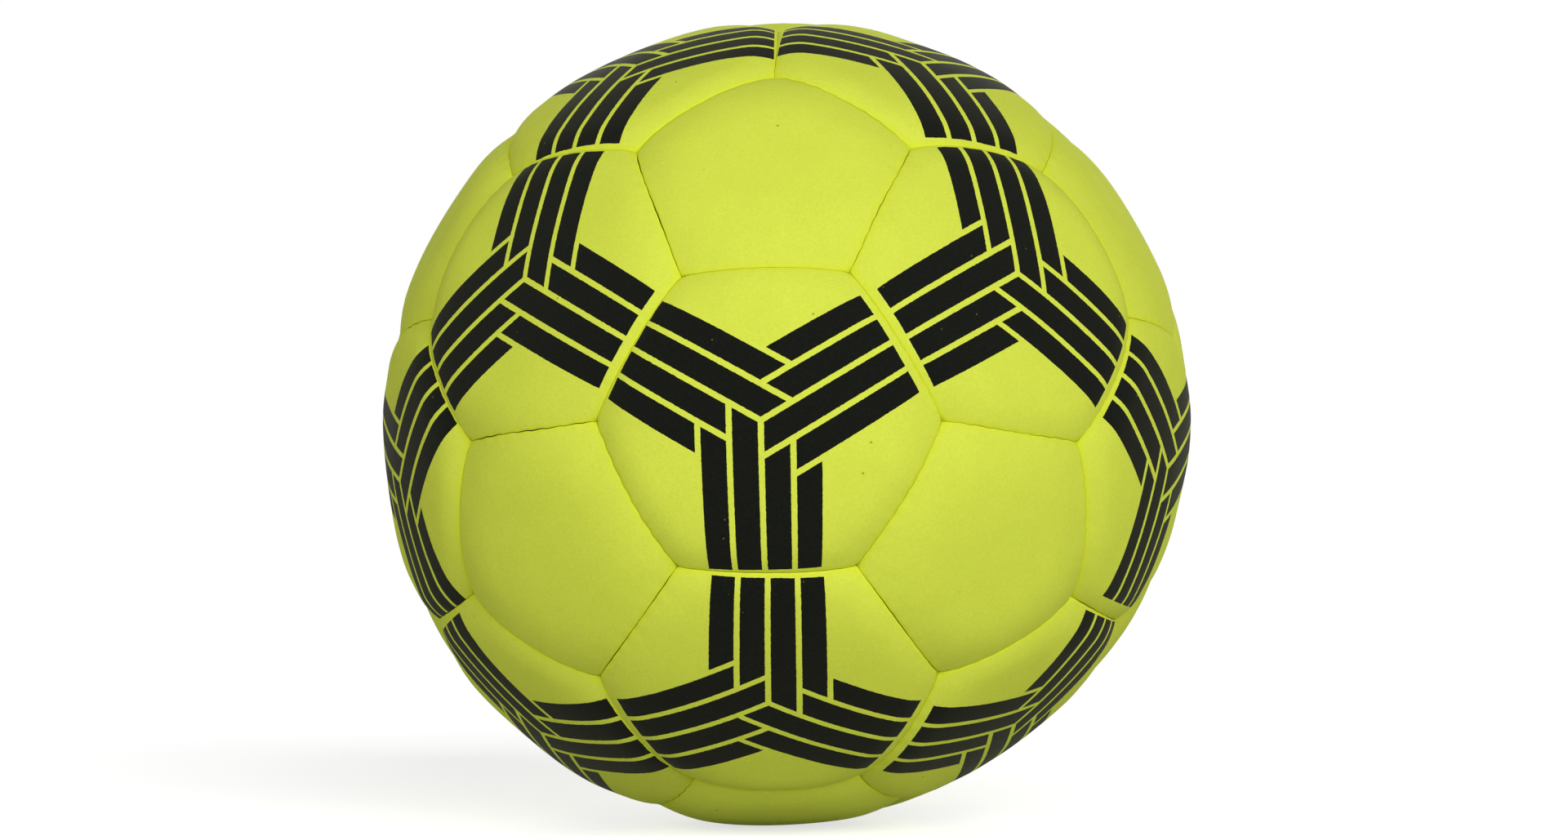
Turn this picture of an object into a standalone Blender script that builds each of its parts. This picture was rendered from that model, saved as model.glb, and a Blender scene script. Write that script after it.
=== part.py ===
"""Indoor soccer ball: sewn felt panels over an inflated bladder, each piece its own object.

Metres, +Z up, origin at the ball's centre. One hexagon faces -Y, with a pentagon straight above it.
Twenty hexagons and twelve pentagons meet as on a truncated icosahedron. Each panel is a laminated
shell whose edges roll down and turn in, and the seam thread lies between the turned-in edges.
"""

import math

import bmesh
import bpy
from mathutils import Matrix, Vector

# Cover
BALL_DIAMETER = 0.2200  # over the panel crowns, so 691 mm round
PANEL_THICKNESS = 0.0035  # needle felt, foam and woven backing, laminated
SEAM_DEPTH = 0.0020  # from the crown's sphere down to the fold where two panels meet
SHOULDER_WIDTH = 0.0100  # over which the felt rolls down from the crown to the fold
SEAM_ALLOWANCE = 0.0050  # panel edge turned in below the fold
SEAM_GAP = 0.0004  # between the two folds of a seam

# Seam thread
THREAD_DIAMETER = 0.0010
STITCH_DEPTH = 0.0030  # from the fold down to the middle of the thread

# Bladder and valve, the valve's sizes from its needle hole outwards
BLADDER_WALL = 0.0010
NEEDLE_HOLE_DIAMETER = 0.0018
NEEDLE_HOLE_DEPTH = 0.0120
INSERT_STEM_WALL = 0.0009  # round the needle hole
INSERT_HEAD_OVERHANG = 0.0009  # head beyond the stem
INSERT_HEAD_THICKNESS = 0.0014
INSERT_BULB_OVERHANG = 0.0017  # bulb beyond the stem, which keeps the air from pushing the insert out
INSERT_BULB_LENGTH = 0.0040
SEAT_NECK_WALL = 0.0007  # round the insert's head, in the panel's hole
SEAT_TUBE_WALL = 0.0029  # round the insert's stem, inside the bladder
SEAT_TUBE_LENGTH = 0.0140  # below the bladder's outer face
SEAT_FLANGE_WIDTH = 0.0090  # disc beyond the tube, bonded to the bladder
SEAT_FLANGE_THICKNESS = 0.0015
VALVE_RECESS = 0.0006  # valve's top below the panel's crown

CLEARANCE = 0.0003  # between neighbouring pieces

# Facets
SIDE_STEPS = 3  # along each side of a panel
BLADDER_STEPS = 24  # round the valve's axis
BLADDER_ARC_STEPS = 12  # from the valve to the far side
VALVE_STEPS = 16
SHOULDER_BENDS = (0.08, 0.35)  # shares of the shoulder at which its curve bends

# Which pentagon holds the valve: the one nearest this way, at the back and to the left
VALVE_SIDE = Vector((-0.53, 0.79, 0.30))

# Finishes: colour, roughness
FELT = ("felt_yellow", (0.72, 0.83, 0.07, 1.0), 0.95)
THREAD = ("waxed_thread", (0.55, 0.60, 0.10, 1.0), 0.60)
LATEX = ("bladder_latex", (0.45, 0.30, 0.16, 1.0), 0.55)
VALVE_RUBBER = ("valve_rubber", (0.03, 0.03, 0.03, 1.0), 0.50)

BALL_RADIUS = BALL_DIAMETER / 2
HALF_GAP = SEAM_GAP / 2
THREAD_RADIUS = THREAD_DIAMETER / 2

# The turned-in edges splay so that the thread clears them from its upper side downwards.
SPLAY = (THREAD_RADIUS + CLEARANCE - HALF_GAP) / (STITCH_DEPTH - THREAD_RADIUS)
TIP_OFFSET = HALF_GAP + SPLAY * SEAM_ALLOWANCE

# Half the angle that one side of a panel spans, seen from the ball's centre
EDGE_PER_CIRCUMRADIUS = 4 / math.sqrt(58 + 18 * math.sqrt(5))
SIDE_HALF_ANGLE = math.asin(EDGE_PER_CIRCUMRADIUS / 2)
FACET_SHRINK = math.cos(SIDE_HALF_ANGLE / SIDE_STEPS)

# The bladder fills the ball up to whatever reaches furthest in.
SEAM_REACH = SEAM_DEPTH + max(SEAM_ALLOWANCE, STITCH_DEPTH + THREAD_RADIUS)
VALVE_REACH = PANEL_THICKNESS + SEAT_FLANGE_THICKNESS + 2 * CLEARANCE
BLADDER_RADIUS = (BALL_RADIUS - max(SEAM_REACH, VALVE_REACH)) * FACET_SHRINK - CLEARANCE

# Radii of the valve, each piece clear of the one inside it
NEEDLE_HOLE_RADIUS = NEEDLE_HOLE_DIAMETER / 2
STEM_RADIUS = NEEDLE_HOLE_RADIUS + INSERT_STEM_WALL
HEAD_RADIUS = STEM_RADIUS + INSERT_HEAD_OVERHANG
BULB_RADIUS = STEM_RADIUS + INSERT_BULB_OVERHANG
BORE_RADIUS = STEM_RADIUS + CLEARANCE
COUNTERBORE_RADIUS = HEAD_RADIUS + CLEARANCE
NECK_RADIUS = COUNTERBORE_RADIUS + SEAT_NECK_WALL
PANEL_HOLE_RADIUS = NECK_RADIUS + CLEARANCE
TUBE_RADIUS = BORE_RADIUS + SEAT_TUBE_WALL
FLANGE_RADIUS = TUBE_RADIUS + SEAT_FLANGE_WIDTH
BLADDER_HOLE_RADIUS = TUBE_RADIUS + CLEARANCE

# Heights of the valve over the ball's centre
VALVE_TOP = BALL_RADIUS - VALVE_RECESS
SHELF_HEIGHT = VALVE_TOP - INSERT_HEAD_THICKNESS - CLEARANCE
TUBE_BOTTOM = BLADDER_RADIUS - SEAT_TUBE_LENGTH
BULB_TOP = TUBE_BOTTOM - CLEARANCE


def clear_scene():
    for obj in list(bpy.data.objects):
        bpy.data.objects.remove(obj)


def material(finish):
    """The finish's Principled material, made once."""
    name, colour, roughness = finish
    found = bpy.data.materials.get(name)
    if found:
        return found
    made = bpy.data.materials.new(name)
    made.use_nodes = True
    shader = made.node_tree.nodes["Principled BSDF"]
    shader.inputs["Base Color"].default_value = colour
    shader.inputs["Roughness"].default_value = roughness
    shader.inputs["Metallic"].default_value = 0.0
    return made


def add_object(name, mesh, centre, turn=None):
    """An object of this mesh, turned about the ball's centre, under the centre's empty."""
    obj = bpy.data.objects.new(name, mesh)
    bpy.context.scene.collection.objects.link(obj)
    obj.parent = centre
    if turn:
        obj.matrix_local = turn.to_4x4()
    return obj


def finished_mesh(name, bm, finish, sharp_degrees=40):
    """The bmesh as a smooth-shaded mesh of one finish."""
    mesh = bpy.data.meshes.new(name)
    bm.to_mesh(mesh)
    bm.free()
    mesh.shade_smooth()
    mesh.set_sharp_from_angle(angle=math.radians(sharp_degrees))
    mesh.materials.append(material(finish))
    return mesh


# Layout of the seams


def seam_skeleton():
    """A truncated icosahedron of unit circumradius: an icosahedron with a third cut off at each corner."""
    bm = bmesh.new()
    bmesh.ops.create_icosphere(bm, subdivisions=1, radius=1.0)
    bmesh.ops.bevel(
        bm, geom=bm.verts[:], offset=100 / 3, offset_type="PERCENT", segments=1, affect="VERTICES"
    )
    for vertex in bm.verts:
        vertex.co.normalize()
    bm.normal_update()
    face_front(bm)
    return bm


def face_front(bm):
    """Turns the skeleton until a hexagon faces -Y and one of its pentagons stands straight above."""
    front = next(face for face in bm.faces if len(face.edges) == 6)
    above = next(
        other for edge in front.edges for other in edge.link_faces if len(other.edges) == 5
    )
    back = -front.calc_center_median().normalized()
    right = back.cross(above.calc_center_median()).normalized()
    up = right.cross(back)
    bmesh.ops.transform(bm, matrix=Matrix((right, back, up)).to_4x4(), verts=bm.verts)
    bm.normal_update()


def panel_turn(face):
    """Rotation that takes a panel drawn about +Z, with a side towards +X, to this face.

    On a hexagon that side is one that meets another hexagon.
    """
    outward = face.calc_center_median().normalized()
    side = next(
        edge
        for edge in face.edges
        if len(face.edges) == 5 or all(len(f.edges) == 6 for f in edge.link_faces)
    )
    middle = (side.verts[0].co + side.verts[1].co) / 2
    towards_side = (middle - outward * middle.dot(outward)).normalized()
    return Matrix((towards_side, outward.cross(towards_side), outward)).transposed()


# Panels


def side_normals(sides):
    """Inward normals of the planes through the ball's centre that bound a panel about +Z."""
    lean = math.asin(math.tan(SIDE_HALF_ANGLE) / math.tan(math.pi / sides))
    turns = [2 * math.pi * k / sides for k in range(sides)]
    return [
        Vector((-math.cos(a) * math.cos(lean), -math.sin(a) * math.cos(lean), math.sin(lean)))
        for a in turns
    ]


def ring_points(normals, offset, radius):
    """Points round a panel, each this far from the nearest seam plane and from the ball's centre."""
    count = len(normals)
    corners = []
    for k in range(count):
        before, after = normals[k - 1], normals[k]
        base = (before + after) * (offset / (1 + before.dot(after)))
        line = before.cross(after).normalized()
        line = line if line.z > 0 else -line
        corners.append(base + line * math.sqrt(radius**2 - base.length_squared))
    points = []
    for k in range(count):
        foot = normals[k] * offset
        start = corners[k] - foot
        end = corners[(k + 1) % count] - foot
        for step in range(SIDE_STEPS):
            way = start.normalized().slerp(end.normalized(), step / SIDE_STEPS)
            points.append(foot + way * start.length)
    return points


def shoulder_drop(offset):
    """How far the felt lies below the crown's sphere, this far from the seam: a quarter ellipse."""
    share = min(max((offset - HALF_GAP) / SHOULDER_WIDTH, 0.0), 1.0)
    return SEAM_DEPTH * (1 - math.sqrt(1 - (1 - share) ** 2))


def panel_section(half_width):
    """(offset from the seam plane, depth below the crown) from the felt's middle round to the backing's.

    half_width is the distance from the seam plane to the panel's middle.
    """
    shoulder_top = HALF_GAP + SHOULDER_WIDTH
    crown = (shoulder_top + half_width) / 2
    inside = TIP_OFFSET + PANEL_THICKNESS
    tip_depth = SEAM_DEPTH + SEAM_ALLOWANCE
    section = [(crown, 0.0), (shoulder_top, 0.0)]
    for share in reversed(SHOULDER_BENDS):
        bend = HALF_GAP + SHOULDER_WIDTH * share
        section.append((bend, shoulder_drop(bend)))
    section += [
        (HALF_GAP, SEAM_DEPTH),
        (TIP_OFFSET, tip_depth),
        (inside, tip_depth),
        (inside, PANEL_THICKNESS + shoulder_drop(inside)),
        (crown, PANEL_THICKNESS),
    ]
    return section


def carry_round(bm, normals, section, turn):
    """Faces of a section carried round a panel's outline. Returns the section's rings of vertices."""
    rings = []
    for offset, depth in section:
        points = ring_points(normals, offset, BALL_RADIUS - depth)
        rings.append([bm.verts.new(turn @ point) for point in points])
    for ring, following in zip(rings, rings[1:]):
        for k in range(len(ring)):
            bm.faces.new((ring[k], ring[k - 1], following[k - 1], following[k]))
    return rings


def panel_mesh(sides):
    """One panel about +Z: its section carried round the outline, and both middles closed."""
    normals = side_normals(sides)
    bm = bmesh.new()
    rings = carry_round(bm, normals, panel_section(BALL_RADIUS * normals[0].z), Matrix.Identity(3))
    outside, inside = rings[0], rings[-1][::-1]
    for ring, height in ((outside, BALL_RADIUS), (inside, BALL_RADIUS - PANEL_THICKNESS)):
        middle = bmesh.ops.poke(bm, faces=[bm.faces.new(ring)])["verts"][0]
        middle.co = (0, 0, height)
    return finished_mesh(f"panel_of_{sides}", bm, FELT)


def valve_face_of(skeleton):
    """The pentagon that holds the valve."""
    pentagons = [face for face in skeleton.faces if len(face.edges) == 5]
    return max(pentagons, key=lambda face: face.calc_center_median().dot(VALVE_SIDE))


def place_panels(skeleton, centre, valve_face):
    """Twenty hexagons and twelve pentagons, numbered from front to back. Returns the valve's panel."""
    valve_panel = None
    for sides, kind in ((6, "hexagon"), (5, "pentagon")):
        mesh = panel_mesh(sides)
        faces = [face for face in skeleton.faces if len(face.edges) == sides]
        faces.sort(key=front_to_back)
        for number, face in enumerate(faces, 1):
            panel = add_object(f"{kind}_panel_{number:02d}", mesh, centre, panel_turn(face))
            if face == valve_face:
                panel.name = "valve_panel"
                valve_panel = panel
    return valve_panel


def front_to_back(face):
    """Order of panels: by distance from the front, then clockwise from the top."""
    middle = face.calc_center_median()
    clock = math.atan2(middle.x, middle.z) % (2 * math.pi)
    return round(middle.y, 3), round(clock, 3)


# Seam thread


def make_seam_thread(skeleton, centre):
    """The thread along every seam, one cage: half of its section carried round each panel, and joined."""
    line_depth = SEAM_DEPTH + STITCH_DEPTH
    half_section = [
        (0.0, line_depth - THREAD_RADIUS),
        (THREAD_RADIUS, line_depth),
        (0.0, line_depth + THREAD_RADIUS),
    ]
    bm = bmesh.new()
    for face in skeleton.faces:
        carry_round(bm, side_normals(len(face.edges)), half_section[::-1], panel_turn(face))
    bmesh.ops.remove_doubles(bm, verts=bm.verts, dist=THREAD_DIAMETER / 100)
    add_object("seam_thread", finished_mesh("seam_thread", bm, THREAD), centre)


# Bladder and valve


def add_turned(name, profile, steps, finish, centre, turn):
    """A turned piece: (radius, height) points, down the outer side, carried round local +Z."""
    bm = bmesh.new()
    points = [bm.verts.new((radius, 0, height)) for radius, height in profile]
    closed = profile[0][0] > 0
    for k in range(0 if closed else 1, len(points)):
        bm.edges.new((points[k - 1], points[k]))
    mesh = bpy.data.meshes.new(name)
    bm.to_mesh(mesh)
    bm.free()
    mesh.materials.append(material(finish))
    obj = add_object(name, mesh, centre, turn)
    screw = obj.modifiers.new("turn", "SCREW")
    screw.axis = "Z"
    screw.steps = screw.render_steps = steps
    screw.use_merge_vertices = True
    screw.merge_threshold = 1e-6
    screw.use_smooth_shade = True
    return obj


def sphere_height(radius, across):
    """Height over the ball's centre of a sphere's surface, this far from the axis."""
    return math.sqrt(radius**2 - across**2)


def make_bladder(centre, turn):
    """Thin-walled sphere with the valve's hole at its top."""

    def arc(radius):
        start = math.asin(BLADDER_HOLE_RADIUS / radius)
        angles = [
            start + (math.pi - start) * k / BLADDER_ARC_STEPS for k in range(BLADDER_ARC_STEPS + 1)
        ]
        run = [(radius * math.sin(a), radius * math.cos(a)) for a in angles]
        return run[:-1] + [(0.0, -radius)]

    profile = arc(BLADDER_RADIUS - BLADDER_WALL)[::-1] + arc(BLADDER_RADIUS)
    add_turned("bladder", profile, BLADDER_STEPS, LATEX, centre, turn)


def make_valve(centre, turn):
    """Rubber seat bonded to the bladder, and the insert in it that seals round a pump needle."""
    under_tube = sphere_height(BLADDER_RADIUS, TUBE_RADIUS) + CLEARANCE
    under_rim = sphere_height(BLADDER_RADIUS, FLANGE_RADIUS) + CLEARANCE
    seat = [
        (COUNTERBORE_RADIUS, VALVE_TOP),
        (NECK_RADIUS, VALVE_TOP),
        (NECK_RADIUS, under_tube + SEAT_FLANGE_THICKNESS),
        (FLANGE_RADIUS, under_rim + SEAT_FLANGE_THICKNESS),
        (FLANGE_RADIUS, under_rim),
        (TUBE_RADIUS, under_tube),
        (TUBE_RADIUS, TUBE_BOTTOM),
        (BORE_RADIUS, TUBE_BOTTOM),
        (BORE_RADIUS, SHELF_HEIGHT),
        (COUNTERBORE_RADIUS, SHELF_HEIGHT),
    ]
    add_turned("valve_seat", seat, VALVE_STEPS, VALVE_RUBBER, centre, turn)
    insert = [
        (0.0, VALVE_TOP - NEEDLE_HOLE_DEPTH),
        (NEEDLE_HOLE_RADIUS, VALVE_TOP - NEEDLE_HOLE_DEPTH),
        (NEEDLE_HOLE_RADIUS, VALVE_TOP),
        (HEAD_RADIUS, VALVE_TOP),
        (HEAD_RADIUS, VALVE_TOP - INSERT_HEAD_THICKNESS),
        (STEM_RADIUS, VALVE_TOP - INSERT_HEAD_THICKNESS),
        (STEM_RADIUS, BULB_TOP),
        (BULB_RADIUS, BULB_TOP),
        (STEM_RADIUS, BULB_TOP - INSERT_BULB_LENGTH),
        (0.0, BULB_TOP - INSERT_BULB_LENGTH),
    ]
    add_turned("valve_insert", insert, VALVE_STEPS, VALVE_RUBBER, centre, turn)


def cut_valve_hole(panel, centre, turn):
    """The hole through the panel that the valve's neck stands in."""
    bm = bmesh.new()
    bmesh.ops.create_cone(
        bm,
        cap_ends=True,
        segments=VALVE_STEPS,
        radius1=PANEL_HOLE_RADIUS,
        radius2=PANEL_HOLE_RADIUS,
        depth=4 * PANEL_THICKNESS,
        matrix=Matrix.Translation((0, 0, BALL_RADIUS - PANEL_THICKNESS / 2)),
    )
    name = "valve_hole_cutter"
    cutter = add_object(name, finished_mesh(name, bm, FELT), centre, turn)
    cutter.hide_render = True
    cutter.display_type = "WIRE"
    hole = panel.modifiers.new("valve_hole", "BOOLEAN")
    hole.operation = "DIFFERENCE"
    hole.solver = "EXACT"
    hole.object = cutter


def main():
    clear_scene()
    centre = bpy.data.objects.new("ball_centre", None)
    bpy.context.scene.collection.objects.link(centre)
    skeleton = seam_skeleton()
    valve_face = valve_face_of(skeleton)
    valve_turn = panel_turn(valve_face)
    valve_panel = place_panels(skeleton, centre, valve_face)
    cut_valve_hole(valve_panel, centre, valve_turn)
    make_seam_thread(skeleton, centre)
    make_bladder(centre, valve_turn)
    make_valve(centre, valve_turn)
    skeleton.free()


main()
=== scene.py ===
"""Looks of the indoor soccer ball, built round its packed frame.

Metres, +Z up, origin at the ball's centre. One hexagon faces -Y, with a pentagon straight above it.
Each felt panel is a closed shell of its own: a felt face that swells between its seams, rolls down and
puckers at the stitches, an edge turned in below the fold, and a woven backing inside.
"""

import functools
import math

import bmesh
import bpy
import numpy as np
from bpy.props import FloatProperty, FloatVectorProperty, PointerProperty
from mathutils import Matrix, Vector


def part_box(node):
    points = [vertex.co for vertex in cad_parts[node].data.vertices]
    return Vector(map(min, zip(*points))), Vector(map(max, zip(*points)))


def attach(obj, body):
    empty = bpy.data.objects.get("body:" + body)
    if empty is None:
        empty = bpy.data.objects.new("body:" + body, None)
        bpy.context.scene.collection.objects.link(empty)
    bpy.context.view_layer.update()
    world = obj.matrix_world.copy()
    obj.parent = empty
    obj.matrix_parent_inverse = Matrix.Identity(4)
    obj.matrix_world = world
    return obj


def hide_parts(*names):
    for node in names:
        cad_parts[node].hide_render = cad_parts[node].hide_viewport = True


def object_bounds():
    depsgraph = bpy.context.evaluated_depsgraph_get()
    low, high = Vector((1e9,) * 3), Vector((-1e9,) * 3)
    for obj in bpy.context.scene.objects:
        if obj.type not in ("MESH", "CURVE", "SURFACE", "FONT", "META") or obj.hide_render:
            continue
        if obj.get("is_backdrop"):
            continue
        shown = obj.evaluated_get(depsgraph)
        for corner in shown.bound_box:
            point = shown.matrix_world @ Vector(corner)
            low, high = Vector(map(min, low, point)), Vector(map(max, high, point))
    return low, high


bl_info = {
    "name": "Indoor soccer ball",
    "version": (1, 0, 0),
    "blender": (4, 5, 0),
    "location": "View3D > Sidebar > Ball",
    "description": "Printed felt panels, seam thread, bladder and valve round the ball's packed frame",
    "category": "Object",
}

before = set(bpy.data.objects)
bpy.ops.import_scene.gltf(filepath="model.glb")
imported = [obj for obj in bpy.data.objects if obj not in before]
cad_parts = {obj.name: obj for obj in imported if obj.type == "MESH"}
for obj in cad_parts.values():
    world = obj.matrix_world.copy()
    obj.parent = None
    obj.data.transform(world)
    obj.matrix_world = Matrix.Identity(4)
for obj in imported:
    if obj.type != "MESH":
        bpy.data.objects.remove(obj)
CAD_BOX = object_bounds()
BODY = "root"
BALL_DIAMETER = CAD_BOX[1].y - CAD_BOX[0].y  # over the panel crowns
MM = 0.001  # metres
HEXAGON = 6  # sides
PENTAGON = 5
CORNER_CUT = 100 / 3  # percent of an icosahedron's edge that is cut off for the pentagons

# How finely the pieces are meshed; a panel's steps are along each side, each a multiple of the next
SIDE_STEPS = 80  # at the seam, where the felt follows the stitches
SHOULDER_STEPS = 40
CROWN_STEPS = 20
BACKING_STEPS = 4  # inside the ball, where nothing bends
# Rings of the felt's face from the fold inwards: millimetres from the seam, and steps along each side
FELT_RINGS = tuple((mm, SIDE_STEPS) for mm in (0.2, 0.45, 0.8, 1.25, 1.8, 2.5))
FELT_RINGS += tuple((mm, SHOULDER_STEPS) for mm in (3.3, 4.3, 5.6, 7.2))
FELT_RINGS += tuple((mm, CROWN_STEPS) for mm in (9.2, 12.0))
BACKING_RINGS = (0.33, 0.66)  # shares of the way from a panel's wall to its middle
HOLE_RINGS = 14  # from the valve panel's shoulder to its hole
HOLE_CROWDING = 1.6  # power by which these rings crowd towards the hole
HOLE_WALL_RINGS = (0.35, 1.0)  # shares of the panel's thickness, down the hole
HOLE_BACKING_RINGS = (0.3, 0.6, 0.85)  # shares of the way from the wall to the hole
TURNED_STEPS = 64  # round the valve's axis
BLADDER_STEPS = 96
EASING_STEPS = 5  # round an eased edge
THREAD_SIDES = 8
THREAD_POINTS = 72  # along one seam
SHARP_FELT = math.radians(50)  # an edge that turns by more is shaded sharp
SHARP_FITTING = math.radians(60)

# How the felt lies near a seam, in metres
CORNER_ROUND = 0.0009  # over which two seams' rolls melt together at a panel's corner
PUCKER_REACH = 0.0032  # how far a stitch's pull shows
WANDER_REACH = 0.0025  # how far the felt follows the seam line's wander
SLACK_REACH = 0.0006  # how far the felt draws back where a seam is slack
CORNER_CALM = 0.0050  # from a corner, over which puckers and wander fade out
JOG_SHARE = 0.72  # of a stitch's length, over which the seam line leans before it steps back
FLANGE_DEPTHS = (0.0011, 0.0022)  # below the fold, where the turned-in edge is meshed finely
EDGE_SPLAY = 0.24  # turned-in edges lean apart by this much for each unit of depth
WALL_DROP = 0.25  # share of the fold's depth that the backing's wall top is lower than its middle
THREAD_SWING = 0.0003  # how far the thread crosses to either side at a stitch
UNEVENNESS = 0.00006  # height of each wave of the inflated cover
WAVE_LENGTHS = np.linspace(0.23, 0.41, 6)  # of these waves, in radii of the ball: 25 to 45 mm

# What chance picks from for each seam
JOG_RANGE = (0.2, 1.0)  # share of the seam wander that is in the step at a stitch
STRAIGHT_JOG = 0.45  # most of it where two hexagons meet, which is sewn straighter
BOW_RANGE = (0.2, 0.8)  # share of the seam wander that is in a slow bow
BOW_LENGTHS = (0.030, 0.060)  # metres from crest to crest of the bow
PULL_RANGE = (0.3, 1.0)  # share of the pucker depth at a stitch
PULLS = 16  # stitches that a seam has a pull of its own for
SLACK_RANGE = (-0.5, 0.9)  # tight at 0 and below
SLACK_SWING = 0.3  # share of a slack seam's opening that comes and goes along it

# Seeds, so that chance gives the same ball each time
CORNER_SEED = 8
CROWN_SEED = 21
SEAM_SEED = 400  # and the seam's number on top
WAVE_SEED = 11
PRINT_SEED = 5

# A map that the finishes are baked through: the felt in the middle, the backing small in a corner
BAKE_MAP = "OFBake"
BAKE_MIDDLE = 0.5
BAKE_MARGIN = 0.02  # share of the felt's reach that is left free round it
BACKING_PLACE = (0.92, 0.08)
BACKING_SPREAD = 0.066
HOLE_WALL_SHARE = 0.9  # of its depth that the hole's wall takes inwards on the map
NEAR_ZERO = 1e-9  # keeps the middle of a panel from a division by zero
PRINT_MAP = "panel_plane"  # millimetres on the flat panel, before it was sewn
SEAM_ATTRIBUTE = "seam_distance"
FAR_FROM_SEAMS = 1.0

# Where the print lies on the hexagons that the camera sees: millimetres right and up, and degrees of turn
PRINT_PLACES = {
    "hexagon_panel_01": (-1, 0, 1),
    "hexagon_panel_02": (1, 1, 1),
    "hexagon_panel_03": (1, 1, -1),
    "hexagon_panel_04": (-1, 0, 0),
    "hexagon_panel_05": (-1, 0, -3),
    "hexagon_panel_06": (1, 3, 2),
    "hexagon_panel_07": (1, -1, 1),
    "hexagon_panel_08": (1, 0, 3),
    "hexagon_panel_09": (3, -2, 1),
    "hexagon_panel_10": (2, -1, 2),
}
PRINT_STRAY_MM = 1.2  # most that it lies off the middle of the others
PRINT_TURN = 1.0  # most degrees that it is turned on the others
PRINT_ARMS = 3
ARM_BARS = 2  # on each side of an arm's middle
INK_FRAY_MM = 0.30

# Hand sewing leaves no corner quite true. The front hexagon is wider at its foot than at its top.
# For each of its corners, right and up in millimetres: its place on a true ball, and how far off it is
FRONT_CORNERS = {
    (44, 0): (1, 0),
    (22, 38): (-1, 0),
    (-22, 38): (0, -1),
    (-44, 0): (0, 0),
    (-22, -38): (-1, 1),
    (22, -38): (1, 1),
}
CORNER_STRAY_MM = 0.8  # most that each of the others lies off, along each axis
CROWN_STAND_MM = 0.4  # most that a panel's crown stands proud or low
VALVE_CORNER_LEAN = math.radians(25)  # the valve panel's own corners are nearer than this to its middle

# How the ball is out of round as the camera sees it: the number of swells round its outline,
# how far they stand out in millimetres, and where the first one points, in degrees from the right
OUTLINE_SWELLS = ((2, 1.1, 45), (3, 0.7, 5))
ROUND_BEHIND = 0.5  # share of the radius behind the ball's middle from which it is true again

# How slack the seams are that the camera sees, from 0, drawn tight, to 1
SEAM_SLACK = {
    ("hexagon_panel_01", "hexagon_panel_03"): 0.25,
    ("hexagon_panel_01", "pentagon_panel_01"): 0.0,
    ("hexagon_panel_01", "pentagon_panel_02"): 0.25,
    ("hexagon_panel_01", "pentagon_panel_03"): 0.25,
    ("hexagon_panel_02", "pentagon_panel_01"): 0.5,
    ("hexagon_panel_02", "pentagon_panel_02"): 0.25,
    ("hexagon_panel_03", "pentagon_panel_02"): 0.75,
    ("hexagon_panel_03", "pentagon_panel_03"): 0.75,
    ("hexagon_panel_04", "pentagon_panel_01"): 1.0,
    ("hexagon_panel_04", "pentagon_panel_03"): 1.0,
    ("hexagon_panel_06", "hexagon_panel_07"): 0.75,
    ("hexagon_panel_06", "pentagon_panel_02"): 0.0,
    ("hexagon_panel_07", "pentagon_panel_02"): 0.25,
    ("hexagon_panel_08", "pentagon_panel_03"): 0.0,
    ("hexagon_panel_09", "pentagon_panel_03"): 0.0,
}

# The valve, from its needle hole outwards, as the frame has it, in metres
VALVE_CLEARANCE = 0.0003
STEM_WALL = 0.0009
HEAD_LIP = 0.0009  # of the insert's head, past its stem
BULB_LIP = 0.0017  # of the insert's bulb, past its stem
NECK_WALL = 0.0007
TUBE_WALL = 0.0029
FLANGE_LIP = 0.0090  # of the seat's flange, past its tube
FLANGE_THICKNESS = 0.0015
HEAD_THICKNESS = 0.0014
VALVE_RECESS = 0.0006  # of the valve's face below the crown
TUBE_LENGTH = 0.0140  # below the bladder's outside
BULB_LENGTH = 0.0040
NEEDLE_DEPTH = 0.0120
VALVE_EASING = 0.0003  # radius of the moulded edges
EASING_SHARE = 0.45  # most of a side that the easing of one corner takes
HOLE_DIP = 0.00055  # how far punching drew the felt in at the hole
HOLE_DIP_REACH = 0.0007
HOLE_EDGE = 0.0008  # from the crown down to where the hole's wall is straight

# Shades that go with the settings' colours
THIN_FELT = "#BCC640"
LINT = "#6E6322"
NAP_SHEEN = "#F2F6B0"
WEAVE_SHADE = "#B4B0A4"
PLY_SHADE = "#8E9436"
TALC = "#D8C9AE"
RUBBER_BLOOM = "#3A3A38"
SHADED_FLOOR = "#E7E7E7"
WHITE = "#FFFFFF"

# How the finishes take the light
FELT_ROUGHNESS = 0.95
INK_ROUGHNESS = 0.86
RUBBER_IOR = 1.52  # natural and butyl rubber alike
TALC_MOST = 0.55  # share of the latex that a cloud of talc hides
BLANK_WAVE = math.tau / 20  # metres from band to band of a wave pattern at scale 1
COLOUR_A, COLOUR_B = 6, 7  # numbers of a mix node's two colours among its inputs

# The stage; lights stand at degrees right of straight ahead and degrees up
KEY_PLACE = (27, 21)
FILL_PLACE = (-50, 8)
BACK_PLACE = (180, 12)
LIGHT_SPREAD = math.radians(50)
FLOOR_REACH = 12.0
FLOOR_GLOW = 0.66  # share of white that the floor shows in full shadow
SENSOR_WIDTH = 36.0  # millimetres
IMAGE_WIDTH = 1920  # pixels of the image that the camera is framed for
BALL_PLACE = (0.2, 6.5)  # pixels that the ball's centre is right of and below the image's centre


def linear(hex_colour):
    """An sRGB hex colour as linear red, green, blue and alpha."""
    parts = [int(hex_colour[k : k + 2], 16) / 255 for k in (1, 3, 5)]
    return tuple(c / 12.92 if c <= 0.04045 else ((c + 0.055) / 1.055) ** 2.4 for c in parts) + (1.0,)


# Settings


def length(name, description, default):
    """A length that a user may change."""
    return FloatProperty(
        name=name, description=description, default=default, min=0.0, precision=5, unit="LENGTH"
    )


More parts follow.
